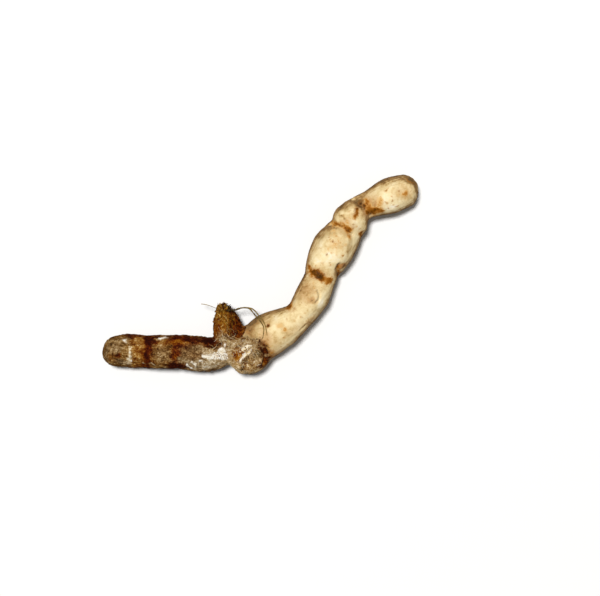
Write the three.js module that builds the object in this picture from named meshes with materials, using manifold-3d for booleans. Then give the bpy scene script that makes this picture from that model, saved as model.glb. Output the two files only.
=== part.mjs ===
// A dried kansui root: a crown knob that carries a thick dark limb, a long beaded limb and the torn
// stub of a third one, all grown as one piece.
// Millimetres, +Z up. The root lies on the plane Z = 0, its origin under the middle of its box.
import * as THREE from 'three';
import { mergeVertices } from 'three/addons/utils/BufferGeometryUtils.js';
import Module from 'manifold-3d';

const RING_SIDES = 20; // points round a limb
const RING_STEP = 2.1; // spacing of the rings along a limb
const CAP_RINGS = 4; // rings that round off each end of a limb
const SINK = 0.25; // how far a belly that carries the root is worn flat by the ground
const SLOW_PITCH = 0.21; // turn of the two-fold ripple, in radians a millimetre of limb
const QUICK_PITCH = 0.33; // turn of the three-fold ripple
const QUICK_SHARE = 0.6; // strength of the three-fold ripple beside the two-fold one
const WELD = 1e-4; // points nearer than this are one point
const TRIM_SIZE = 400; // side of the block that wears the bellies flat
const SKIN_COLOUR = 0xe2c890;

// Each limb is a row of sections through its beads and waists, from the crown outwards:
// x, y, width, height, and the gap left under its belly, which is below zero where it rests.
const BEADED_LIMB = {
  sections: [
    [-1.5, -24.5, 14.6, 13.6, 0.5],
    [3.3, -21.2, 15.4, 14.2, 0.6],
    [7.9, -18.6, 14.2, 13.4, 1.1],
    [11.4, -16.3, 12.5, 12.2, 1.8],
    [14.4, -13.6, 11.4, 11.6, 2.3],
    [16.4, -10.8, 11.8, 11.8, 2.5],
    [18.0, -8.4, 12.4, 12.0, 2.4],
    [19.5, -5.0, 11.8, 11.6, 2.1],
    [20.8, -1.6, 11.9, 11.6, 1.6],
    [21.6, 1.6, 12.7, 12.2, 0.9],
    [23.0, 4.6, 14.4, 13.6, 0.2],
    [25.8, 9.2, 15.9, 14.8, -SINK],
    [28.3, 12.8, 14.2, 13.6, 0.4],
    [30.3, 16.0, 12.9, 12.4, 1.3],
    [31.9, 19.2, 13.3, 12.6, 1.8],
    [33.6, 21.2, 11.2, 11.2, 2.4],
    [35.4, 22.6, 9.3, 9.6, 2.8],
    [37.4, 23.8, 9.6, 9.8, 2.4],
    [41.7, 25.8, 11.7, 11.4, 1.0],
    [46.0, 27.6, 13.6, 13.0, -SINK],
    [50.3, 29.0, 12.6, 12.2, 0.2],
  ],
  startLength: 3,
  endLength: 5.2,
  ripple: 0.022,
  phase: 0.6,
};

const DARK_LIMB = {
  sections: [
    [-9.5, -27.2, 9.6, 9.8, 1.4],
    [-13.3, -27.6, 10.8, 10.8, 0.8],
    [-16.8, -28.2, 12.5, 12.0, 0.1],
    [-20.4, -28.3, 13.2, 12.6, -SINK],
    [-24.4, -27.7, 12.8, 12.2, 0.2],
    [-29.5, -27.3, 12.1, 11.8, 0.9],
    [-36.2, -27.5, 11.8, 11.4, 1.1],
    [-41.5, -27.2, 12.1, 11.8, 0.4],
    [-46.0, -27.0, 12.3, 12.0, -SINK],
    [-50.2, -27.1, 11.5, 11.4, 0.3],
  ],
  startLength: 3,
  endLength: 5.6,
  ripple: 0.02,
  phase: 2.1,
};

const TORN_STUB = {
  sections: [
    [-8.6, -25.0, 11.6, 11.0, 1.0],
    [-11.2, -20.4, 11.2, 10.6, 1.6],
    [-12.2, -16.4, 9.5, 9.4, 2.6],
    [-13.1, -13.0, 6.4, 7.0, 4.4],
  ],
  startLength: 3,
  endLength: 2.8,
  ripple: 0.035,
  phase: 4.0,
};

// The crown is a few lobes grown into each other: centre x, y, then the three half-sizes,
// the lobe's turn about Z in degrees, and the gap left under it.
const CROWN_LOBES = [
  { x: -3.4, y: -28.6, half: [7.8, 6.6, 7.2], turn: 32, gap: -SINK },
  { x: -7.8, y: -28.6, half: [4.6, 5.2, 6.2], turn: 0, gap: 0.9 },
  { x: -2.2, y: -23.0, half: [5.0, 5.4, 6.4], turn: 30, gap: 1.2 },
];

/** A curve through one row of section values, so that every measure changes at the same pace. */
const throughSections = (sections, pick) =>
  new THREE.CatmullRomCurve3(sections.map((s) => new THREE.Vector3(...pick(s))), false, 'centripetal');

/** How far a limb's skin swells or shrinks at an angle round it and a distance along it. */
function rippleAt(limb, angle, along) {
  const slow = Math.sin(2 * angle + limb.phase + along * SLOW_PITCH);
  const quick = Math.sin(3 * angle - 2 * limb.phase - along * QUICK_PITCH);
  return 1 + limb.ripple * (slow + QUICK_SHARE * quick);
}

/** The rings that a limb's skin is stretched over: centre, half-width, half-height and heading. */
function ringsOf(limb) {
  const { sections } = limb;
  const centre = throughSections(sections, ([x, y, , height, gap]) => [x, y, gap + height / 2]);
  const girth = throughSections(sections, ([, , width, height]) => [width / 2, height / 2, 0]);
  const places = [];
  for (let s = 0; s < sections.length - 1; s++) {
    const span = new THREE.Vector3(...sections[s].slice(0, 2), 0)
      .distanceTo(new THREE.Vector3(...sections[s + 1].slice(0, 2), 0));
    const steps = Math.max(1, Math.round(span / RING_STEP));
    for (let k = 0; k < steps; k++) places.push((s + k / steps) / (sections.length - 1));
  }
  places.push(1);
  const body = places.map((t) => {
    const size = girth.getPoint(t);
    return { centre: centre.getPoint(t), wide: size.x, tall: size.y, heading: centre.getTangent(t) };
  });
  const start = capRings(body[0], -limb.startLength).reverse();
  return [...start, ...body, ...capRings(body.at(-1), limb.endLength)];
}

/** The shrinking rings of a domed end, and the pole that closes it. */
function capRings(last, length) {
  return Array.from({ length: CAP_RINGS }, (_, k) => {
    const climb = (((k + 1) / CAP_RINGS) * Math.PI) / 2;
    const shrink = k + 1 === CAP_RINGS ? 0 : Math.cos(climb);
    return {
      centre: last.centre.clone().addScaledVector(last.heading, length * Math.sin(climb)),
      wide: last.wide * shrink,
      tall: last.tall * shrink,
      heading: last.heading,
    };
  });
}

/** One limb as a closed skin over its rings. */
function limbGeometry(limb) {
  const rings = ringsOf(limb);
  const points = [];
  let along = 0;
  rings.forEach((ring, i) => {
    if (i) along += ring.centre.distanceTo(rings[i - 1].centre);
    const side = new THREE.Vector3(0, 0, 1).cross(ring.heading).normalize();
    const up = ring.heading.clone().cross(side).normalize();
    for (let k = 0; k < RING_SIDES; k++) {
      const angle = (k / RING_SIDES) * 2 * Math.PI;
      const swell = rippleAt(limb, angle, along);
      const point = ring.centre.clone();
      point.addScaledVector(side, Math.cos(angle) * ring.wide * swell);
      point.addScaledVector(up, Math.sin(angle) * ring.tall * swell);
      points.push(point.x, point.y, point.z);
    }
  });
  const faces = [];
  for (let i = 0; i < rings.length - 1; i++) {
    for (let k = 0; k < RING_SIDES; k++) {
      const next = (k + 1) % RING_SIDES;
      const [a, b] = [i * RING_SIDES + k, i * RING_SIDES + next];
      const [c, d] = [a + RING_SIDES, b + RING_SIDES];
      faces.push(a, b, d, a, d, c);
    }
  }
  return new THREE.BufferGeometry()
    .setAttribute('position', new THREE.Float32BufferAttribute(points, 3))
    .setIndex(faces);
}

/** One lobe of the crown. */
function lobeGeometry({ x, y, half, turn, gap }) {
  return new THREE.SphereGeometry(1, RING_SIDES, RING_SIDES / 2)
    .scale(...half)
    .rotateZ(THREE.MathUtils.degToRad(turn))
    .translate(x, y, gap + half[2]);
}

const wasm = await Module();
wasm.setup();

/** A closed geometry as a solid that can be joined and cut. */
function solidOf(geometry) {
  const bare = geometry.clone();
  bare.deleteAttribute('normal');
  bare.deleteAttribute('uv');
  const merged = mergeVertices(bare, WELD);
  const corners = merged.index.array;
  const kept = [];
  for (let i = 0; i < corners.length; i += 3) {
    const [a, b, c] = corners.slice(i, i + 3);
    if (a !== b && b !== c && c !== a) kept.push(a, b, c);
  }
  return new wasm.Manifold(
    new wasm.Mesh({
      numProp: 3,
      vertProperties: new Float32Array(merged.attributes.position.array),
      triVerts: new Uint32Array(kept),
    }),
  );
}

/** A solid's surface as a geometry. */
function geometryOf(solid) {
  const { vertProperties, triVerts } = solid.getMesh();
  const geometry = new THREE.BufferGeometry()
    .setAttribute('position', new THREE.BufferAttribute(vertProperties, 3))
    .setIndex(new THREE.BufferAttribute(triVerts, 1));
  geometry.computeVertexNormals();
  return geometry;
}

const block = new THREE.BoxGeometry(TRIM_SIZE, TRIM_SIZE, TRIM_SIZE);
const ground = solidOf(block.translate(0, 0, -TRIM_SIZE / 2));
const grown = [BEADED_LIMB, DARK_LIMB, TORN_STUB]
  .map(limbGeometry)
  .concat(CROWN_LOBES.map(lobeGeometry))
  .map(solidOf)
  .reduce((whole, piece) => whole.add(piece));
const skin = geometryOf(grown.subtract(ground));
skin.computeBoundingBox();
const middle = skin.boundingBox.getCenter(new THREE.Vector3());
skin.translate(-middle.x, -middle.y, -skin.boundingBox.min.z);

const kansuiRoot = new THREE.Mesh(
  skin,
  new THREE.MeshStandardMaterial({ color: SKIN_COLOUR, roughness: 0.6, metalness: 0 }),
);
kansuiRoot.name = 'kansui_root';

const root = new THREE.Group();
root.add(kansuiRoot);

export default root;
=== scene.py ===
"""A dried kansui root, dressed over its solid: skin, bark, stains, crust, torn fibres and rootlets.

Lengths are in millimetres in the root's own frame and turn into metres only when a mesh is written.
The dark limb points to -X, the beaded limb to +X and +Y, the torn stub to +Y, and +Z is up.
"""

import logging
import math
from dataclasses import dataclass, field, replace
from enum import Enum

import bpy
import numpy as np
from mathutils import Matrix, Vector


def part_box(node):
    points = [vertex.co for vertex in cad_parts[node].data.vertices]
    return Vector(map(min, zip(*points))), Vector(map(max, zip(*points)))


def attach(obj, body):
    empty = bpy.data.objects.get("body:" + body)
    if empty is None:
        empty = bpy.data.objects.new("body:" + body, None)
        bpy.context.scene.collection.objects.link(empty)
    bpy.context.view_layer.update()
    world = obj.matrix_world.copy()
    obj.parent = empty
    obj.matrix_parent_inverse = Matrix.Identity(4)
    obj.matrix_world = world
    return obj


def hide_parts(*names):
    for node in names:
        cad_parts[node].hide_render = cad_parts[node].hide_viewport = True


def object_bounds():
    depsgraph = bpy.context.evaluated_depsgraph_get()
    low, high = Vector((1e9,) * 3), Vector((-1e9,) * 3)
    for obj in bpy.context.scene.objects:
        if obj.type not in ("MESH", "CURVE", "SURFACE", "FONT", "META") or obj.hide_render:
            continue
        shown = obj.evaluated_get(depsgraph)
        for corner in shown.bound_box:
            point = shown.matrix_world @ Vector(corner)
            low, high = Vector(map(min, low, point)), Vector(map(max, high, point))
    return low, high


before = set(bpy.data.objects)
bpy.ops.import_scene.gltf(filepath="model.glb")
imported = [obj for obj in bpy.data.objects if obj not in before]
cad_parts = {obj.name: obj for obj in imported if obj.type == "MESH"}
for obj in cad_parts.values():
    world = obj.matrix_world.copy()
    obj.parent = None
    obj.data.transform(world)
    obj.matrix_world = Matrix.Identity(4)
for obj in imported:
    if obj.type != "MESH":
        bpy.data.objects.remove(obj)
CAD_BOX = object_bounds()

log = logging.getLogger("kansui_root")

MM = 0.001
NODE = "kansui_root"
BODY = "root"

Array = np.ndarray
Socket = bpy.types.NodeSocket
Place = tuple[float, float]
Span = tuple[float, float]
Triple = tuple[float, float, float]
Weights = tuple[float, ...]
Stops = tuple[tuple[float, str], ...]


class Side(Enum):
    """Which face of the root a mark is on."""

    TOP = 1.0
    UNDER = -1.0


UNDER = Side.UNDER


class Channel(Enum):
    """The values painted on the skin that its finish reads, each a mesh attribute of that name."""

    BARK = "bark"
    STAIN = "stain"
    DEPTH = "stain_depth"
    PALE = "pale"
    TONE = "tone"
    WARM = "warm"
    GREY = "grey"
    GRIME = "grime"
    GRAIN = "grain"


def in_scene(name: str, data: bpy.types.ID) -> bpy.types.Object:
    """Makes an object and puts it in the scene.

    Args:
        name: Its name.
        data: Its mesh, light or camera.

    Returns:
        The object.
    """
    item = bpy.data.objects.new(name, data)
    bpy.context.scene.collection.objects.link(item)
    return item


# Arrays: noise, the skin, limbs' centre lines and the marks on them.

CORNER_ROUNDS = 3
CORNER_CUT = 0.25


def smooth_step(value: Array, low: float, high: float) -> Array:
    """Rises from 0 at low to 1 at high with no corner."""
    share = np.clip((value - low) / (high - low), 0.0, 1.0)
    return share * share * (3.0 - 2.0 * share)


def moved(span: Span, by: float) -> Span:
    """A span shifted as a whole."""
    return by + span[0], by + span[1]


def rounded(route: Array) -> Array:
    """A route with its corners cut until it bends smoothly.

    Args:
        route: One row a corner.

    Returns:
        One row a point.
    """
    keep = 1.0 - CORNER_CUT
    for _ in range(CORNER_ROUNDS):
        first = keep * route[:-1] + CORNER_CUT * route[1:]
        second = CORNER_CUT * route[:-1] + keep * route[1:]
        cut = np.stack([first, second], axis=1).reshape(-1, route.shape[1])
        route = np.vstack([route[:1], cut, route[-1:]])
    return route


def running_mean(values: Array, reach: int, **ends: str) -> Array:
    """Values averaged with the ones beside them."""
    count = 2 * reach + 1
    return np.convolve(np.pad(values, reach, **ends), np.ones(count) / count, mode="valid")


def unit(vector: Array) -> Array:
    """A vector made one long."""
    return vector / np.linalg.norm(vector)


def unit_rows(rows: Array) -> Array:
    """Every row made one long."""
    return rows / np.linalg.norm(rows, axis=1, keepdims=True)


def row_dots(first: Array, second: Array) -> Array:
    """The dot product of each pair of rows."""
    return np.einsum("ij,ij->i", first, second)


def flat_gap(points: Array, place: Place) -> Array:
    """Each point's distance from a place, seen from above."""
    return np.hypot(*(points[:, :2] - place).T)


def laid(degrees: float, normal: Array) -> Array:
    """A direction at so many degrees from +X, laid down on the skin that has this normal."""
    lead = np.array([math.cos(math.radians(degrees)), math.sin(math.radians(degrees)), 0.0])
    return lead - normal * (lead @ normal)


class Noise:
    """Seeded gradient noise in space, about -1 to 1, for shapes that have to repeat exactly."""

    CELLS = 256
    LOUDNESS = 1.6
    LAYER_SHIFT = 17.3
    FOLD_SHIFT = 5.1
    FOLD_SLOPE = 3.2

    def __init__(self, seed: int) -> None:
        """Draws the noise's slopes.

        Args:
            seed: Starts the random draws.
        """
        draw = np.random.default_rng(seed)
        self.order = np.tile(draw.permutation(self.CELLS), 3)
        self.slopes = unit_rows(draw.normal(size=(self.CELLS, 3)))

    def _cell(self, corner: Array) -> Array:
        """The number of each lattice corner."""
        x, y, z = (corner % self.CELLS).T
        return self.order[self.order[self.order[x] + y] + z]

    def at(self, places: Array) -> Array:
        """Plain noise.

        Args:
            places: Points in cells, one row each.

        Returns:
            One value a point.
        """
        base = np.floor(places).astype(int)
        part = places - base
        ease = part * part * part * (part * (part * 6.0 - 15.0) + 10.0)
        total = np.zeros(len(places))
        for step in np.ndindex(2, 2, 2):
            corner = np.array(step)
            pull = row_dots(self.slopes[self._cell(base + corner)], part - corner)
            total += pull * np.prod(np.where(corner, ease, 1.0 - ease), axis=1)
        return total * self.LOUDNESS

    def layered(self, places: Array, layers: int, gain: float, folded: bool) -> Array:
        """Several sizes of noise added up, each half the size of the one before.

        Args:
            places: Points in cells of the largest size.
            layers: How many sizes.
            gain: Strength of each size beside the one before.
            folded: Whether it makes furrows, 0 on the ridges and down to -1 between them.

        Returns:
            One value a point.
        """
        shift = self.FOLD_SHIFT if folded else self.LAYER_SHIFT
        total = np.zeros(len(places))
        for layer in range(layers):
            value = self.at(places * 2.0**layer + shift * layer)
            if folded:
                value = -np.clip(1.0 - self.FOLD_SLOPE * np.abs(value), 0.0, 1.0)
            total += gain**layer * value
        return total


@dataclass(frozen=True)
class Pattern:
    """Relief on the skin: soft lumps, or furrows where it is folded, bent where another stirs it.

    The size is that of the largest lump, the pitch stretches it, and each further layer is half as big.
    """

    height: float
    size: float = 1.0
    pitch: Triple = (1.0, 1.0, 1.0)
    layers: int = 2
    gain: float = 0.5
    shift: float = 0.0
    folded: bool = False
    stir: "Pattern | None" = None


class Skin:
    """The root's skin as plain arrays, with one row a point, in millimetres."""

    FREE_HEIGHT = 0.9
    HEIGHT_PULL = 0.02
    FACING_PULL = 0.5
    AXIS_SHIFT = 31.0

    def __init__(self, node: bpy.types.Object, fineness: float, seed: int) -> None:
        """Covers a solid with an even, fine skin.

        Args:
            node: The solid.
            fineness: The length of a face's side.
            seed: Starts the noise that shapes it.
        """
        self.noise = Noise(seed)
        shell = in_scene("shell", node.data.copy())
        remesh = shell.modifiers.new("even_faces", "REMESH")
        remesh.mode = "VOXEL"
        remesh.voxel_size = fineness * MM
        graph = bpy.context.evaluated_depsgraph_get()
        self.mesh = bpy.data.meshes.new_from_object(shell.evaluated_get(graph))
        bpy.data.objects.remove(shell)
        self.mesh.materials.clear()
        self.points = self._rows(self.mesh.vertices, "co") / MM
        self.edges = np.zeros((len(self.mesh.edges), 2), dtype=int)
        self.mesh.edges.foreach_get("vertices", self.edges.ravel())
        self.degree = np.bincount(self.edges.ravel(), minlength=len(self.points))
        self.normals = np.zeros_like(self.points)
        self.swayed = self.points
        self.refresh()

    def _rows(self, items: bpy.types.bpy_prop_collection, name: str) -> Array:
        """Reads the vector of that name of every item."""
        flat = np.zeros(3 * len(items))
        items.foreach_get(name, flat)
        return flat.reshape(-1, 3)

    def refresh(self) -> None:
        """Writes the points to the mesh and reads the new normals."""
        self.mesh.vertices.foreach_set("co", (self.points * MM).ravel())
        self.mesh.update()
        self.normals = self._rows(self.mesh.vertex_normals, "vector")

    def average(self, values: Array) -> Array:
        """The mean of each point's neighbours.

        Args:
            values: One number or one row a point.

        Returns:
            An array of the same shape.
        """
        if values.ndim == 2:
            return np.stack([self.average(column) for column in values.T], axis=1)
        near, far = self.edges.T
        total = np.bincount(near, weights=values[far], minlength=len(values))
        total += np.bincount(far, weights=values[near], minlength=len(values))
        return total / self.degree

    def blur(self, values: Array, rounds: int) -> Array:
        """Values softened over the skin.

        Args:
            values: One number or one row a point.
            rounds: How often each point moves half-way to its neighbours' mean.

        Returns:
            An array of the same shape.
        """
        for _ in range(rounds):
            values = 0.5 * values + 0.5 * self.average(values)
        return values

    def push(self, amount: Array) -> None:
        """Moves every point along its normal, and the ones near the ground by less.

        Args:
            amount: The distance of each point, above zero outwards.
        """
        free = smooth_step(self.points[:, 2], 0.0, self.FREE_HEIGHT)
        self.points += self.normals * (amount * free)[:, None]
        self.refresh()

    def anchor(self, place: Place, side: Side) -> int:
        """The point of the skin over or under a place.

        Args:
            place: x and y.
            side: Which face of the root.

        Returns:
            The point's index.
        """
        height = side.value * self.points[:, 2]
        facing = side.value * self.normals[:, 2]
        gap = flat_gap(self.points, place)
        return int(np.argmin(gap - self.HEIGHT_PULL * height - self.FACING_PULL * facing))

    def relief(self, pattern: Pattern, share: float | Array = 1.0, points: Array | None = None) -> Array:
        """The height of a pattern at each point.

        Args:
            pattern: What the relief is like.
            share: How much of the height each point gets.
            points: The places that the pattern lies in, if not the skin's own.

        Returns:
            One height a point.
        """
        points = self.points if points is None else points
        places = points / pattern.size * pattern.pitch
        if pattern.stir:
            places = places + self.relief(pattern.stir)[:, None]
        value = self.noise.layered(places + pattern.shift, pattern.layers, pattern.gain, pattern.folded)
        return share * pattern.height * value

    def sway(self, swing: Pattern) -> None:
        """Shifts the places that marks are measured from, so that their edges wander."""
        swings = [self.relief(replace(swing, shift=self.AXIS_SHIFT * axis)) for axis in range(3)]
        self.swayed = self.points + np.stack(swings, axis=1)

    def hollow(self, rounds: int) -> Array:
        """How far each point lies below the skin round it."""
        return row_dots(self.blur(self.points, rounds) - self.points, self.normals)


@dataclass
class Spine:
    """A limb's centre line, which gives each point of the skin its place along and across the limb."""

    route: tuple[Place, ...]
    step: float = 0.8
    feel: float = 1.3
    evened: int = 4
    softness: float = 1.4
    centres: Array = field(init=False)
    along: Array = field(init=False)
    heading: Array = field(init=False)

    def lay(self, skin: Skin) -> None:
        """Samples the route evenly and lifts it to mid-height inside the skin.

        Args:
            skin: The skin that it runs in.
        """
        route = rounded(np.array(self.route, dtype=float))
        reach = np.concatenate([[0.0], np.cumsum(np.hypot(*np.diff(route, axis=0).T))])
        self.along = np.arange(0.0, reach[-1], self.step)
        flat = np.stack([np.interp(self.along, reach, column) for column in route.T], axis=1)
        heights = []
        for centre in flat:
            near = skin.points[flat_gap(skin.points, centre) < self.feel, 2]
            heights.append((near.min() + near.max()) / 2 if len(near) else np.nan)
        heights = np.array(heights)
        known = ~np.isnan(heights)
        heights = np.interp(self.along, self.along[known], heights[known])
        self.centres = np.column_stack([flat, running_mean(heights, self.evened, mode="edge")])
        self.heading = unit_rows(np.gradient(self.centres, axis=0))

    def locate(self, points: Array) -> Array:
        """Straightens the limb: gives each point its place along it, across it and above its centre.

        Args:
            points: One row a point.

        Returns:
            One row a point.
        """
        gap = (points**2).sum(1)[:, None] + (self.centres**2).sum(1) - 2.0 * points @ self.centres.T
        weight = np.exp(-(gap - gap.min(1, keepdims=True)) / (2.0 * self.softness**2))
        weight /= weight.sum(1, keepdims=True)
        heading = unit_rows(weight @ self.heading)
        across = unit_rows(np.cross([0.0, 0.0, 1.0], heading))
        offset = points - weight @ self.centres
        along = weight @ self.along + row_dots(offset, heading)
        return np.column_stack(
            [along, row_dots(offset, across), row_dots(offset, np.cross(heading, across))]
        )

    def reach(self, place: Place) -> float:
        """How far along the limb a place is."""
        return float(self.along[np.argmin(flat_gap(self.centres, place))])


def distance_to_route(skin: Skin, route: tuple[Place, ...], side: Side, places: Array) -> Array:
    """Distance from a line over the skin.

    Args:
        skin: The skin that the line runs over.
        route: The line's corners.
        side: Which face of the root it is on.
        places: The places to measure from.

    Returns:
        One distance a place.
    """
    ends = [skin.points[skin.anchor(place, side)] for place in route]
    nearest = np.full(len(places), np.inf)
    for start, stop in zip(ends, ends[1:]):
        run = stop - start
        share = np.clip((places - start) @ run / (run @ run), 0.0, 1.0)
        nearest = np.minimum(nearest, np.linalg.norm(places - start - share[:, None] * run, axis=1))
    return nearest


@dataclass(frozen=True)
class Spot:
    """A round or long mark on the skin: its middle, half sizes and angle."""

    THICKNESS = 1.3

    x: float
    y: float
    long: float
    wide: float
    turn: float = 0.0
    depth: float = 0.0
    side: Side = Side.TOP

    def spread(self, skin: Skin, places: Array) -> Array:
        """Distance from the spot's middle, as a share of its size.

        Args:
            skin: The skin that it lies on.
            places: The places to measure from.

        Returns:
            One value a place: 0 in the middle, 1 on the edge.
        """
        middle = skin.anchor((self.x, self.y), self.side)
        normal = skin.normals[middle]
        lead = unit(laid(self.turn, normal))
        offset = places - skin.points[middle]
        return np.sqrt(
            (offset @ lead / self.long) ** 2
            + (offset @ np.cross(normal, lead) / self.wide) ** 2
            + (offset @ normal / (self.THICKNESS * max(self.long, self.wide))) ** 2
        )

    def strength(self, skin: Skin) -> Array:
        """A soft dome over the spot, 1 in its middle, for pits and warts."""
        return np.exp(-(self.spread(skin, skin.points) ** 2))

    def margin(self, skin: Skin) -> Array:
        """Distance of each point inside the spot's wandering edge, below zero outside."""
        return (1.0 - self.spread(skin, skin.swayed)) * min(self.long, self.wide)


@dataclass(frozen=True)
class Streak:
    """A long mark, a furrow, or a ridge where its depth is below zero, along a route over the skin."""

    route: tuple[Place, ...]
    width: float
    depth: float = 0.0
    side: Side = Side.TOP

    def margin(self, skin: Skin) -> Array:
        """Distance of each point inside the streak's wandering edge, below zero outside."""
        return self.width - distance_to_route(skin, self.route, self.side, skin.swayed)

    def strength(self, skin: Skin) -> Array:
        """How much of a furrow each point feels, 1 on the route and 0 well away from it."""
        nearest = distance_to_route(skin, self.route, self.side, skin.points)
        return np.exp(-((nearest / self.width) ** 2))


Marks = tuple[Spot | Streak, ...]


@dataclass(frozen=True)
class Wash:
    """A soft patch of tint: its middle, half sizes and angle, then how light, rusty and grey it is."""

    FADE = (1.45, 0.25)

    x: float
    y: float
    long: float
    wide: float
    turn: float
    tone: float
    warm: float = 0.0
    grey: float = 0.0
    strength: float = 1.0
    side: Side = Side.TOP

    def share(self, skin: Skin) -> Array:
        """How much of the wash each point takes, from 0 to its strength."""
        spot = Spot(self.x, self.y, self.long, self.wide, self.turn, side=self.side)
        return self.strength * smooth_step(spot.spread(skin, skin.swayed), *self.FADE)


def carve(relief: Array, skin: Skin, cuts: Marks) -> None:
    """Sinks creases and pits into a relief."""
    for cut in cuts:
        relief -= cut.depth * cut.strength(skin)


@dataclass
class Paint:
    """The painted values of every point of the skin."""

    MARGINS = (Channel.BARK, Channel.STAIN, Channel.PALE)
    FAR_OUTSIDE = -4.0
    OVERLAP = 0.5

    skin: Skin
    values: dict[Channel, Array] = field(init=False)

    def __post_init__(self) -> None:
        """Starts every channel blank."""
        size = len(self.skin.points)
        self.values = {channel: np.zeros(size) for channel in Channel if channel is not Channel.GRAIN}
        for channel in self.MARGINS:
            self.values[channel] += self.FAR_OUTSIDE

    def cover(self, channel: Channel, margin: Array) -> None:
        """Widens a patch by another one, both given as margins in millimetres."""
        self.values[channel] = np.maximum(self.values[channel], margin)

    def chalk(self, marks: Marks) -> None:
        """Lays chalky marks on the skin."""
        for mark in marks:
            self.cover(Channel.PALE, mark.margin(self.skin))

    def stain(self, margin: Array, depth: float | Array) -> None:
        """Lays a stain over the ones before it.

        Args:
            margin: Distance inside its edge.
            depth: From 0, pale ochre, to 1, nearly black.
        """
        share = smooth_step(margin - self.values[Channel.STAIN], -self.OVERLAP, self.OVERLAP)
        self.values[Channel.DEPTH] = self.values[Channel.DEPTH] * (1.0 - share) + depth * share
        self.cover(Channel.STAIN, margin)

    def tint(self, share: Array, tone: float, warm: float, grey: float) -> None:
        """Lays a tint over the ones before it."""
        for channel, target in ((Channel.TONE, tone), (Channel.WARM, warm), (Channel.GREY, grey)):
            self.values[channel] += (target - self.values[channel]) * share

    def wash(self, washes: tuple[Wash, ...]) -> None:
        """Lays washes one over another."""
        for wash in washes:
            self.tint(wash.share(self.skin), wash.tone, wash.warm, wash.grey)

    def soil(self, amount: Array) -> None:
        """Adds grime, as much as an amount from 0 to 1 says."""
        self.values[Channel.GRIME] = np.clip(self.values[Channel.GRIME] + amount, 0.0, 1.0)

    def write(self, mesh: bpy.types.Mesh, grain: Array) -> None:
        """Stores the channels as mesh attributes.

        Args:
            mesh: The skin's mesh.
            grain: The straightened place of every point.
        """
        for channel, values in self.values.items():
            mesh.attributes.new(channel.value, "FLOAT", "POINT").data.foreach_set("value", values)
        store = mesh.attributes.new(Channel.GRAIN.value, "FLOAT_VECTOR", "POINT")
        store.data.foreach_set("vector", grain.ravel())


# Finishes.

# How a screen's colour value turns into light: straight below the knee, a curve above it.
SCREEN_KNEE = 0.04045
SCREEN_SLOPE = 12.92
SCREEN_OFFSET = 0.055
SCREEN_POWER = 2.4

MIDDLE = 0.5


def colour(code: str) -> tuple[float, float, float, float]:
    """A colour for a shader socket.

    Args:
        code: Six hexadecimal digits, as seen on a screen.

    Returns:
        Linear red, green and blue, and an alpha of 1.
    """
    linear = []
    for start in (0, 2, 4):
        part = int(code[start : start + 2], 16) / 255
        curved = ((part + SCREEN_OFFSET) / (1.0 + SCREEN_OFFSET)) ** SCREEN_POWER
        linear.append(part / SCREEN_SLOPE if part <= SCREEN_KNEE else curved)
    return (*linear, 1.0)


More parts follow.
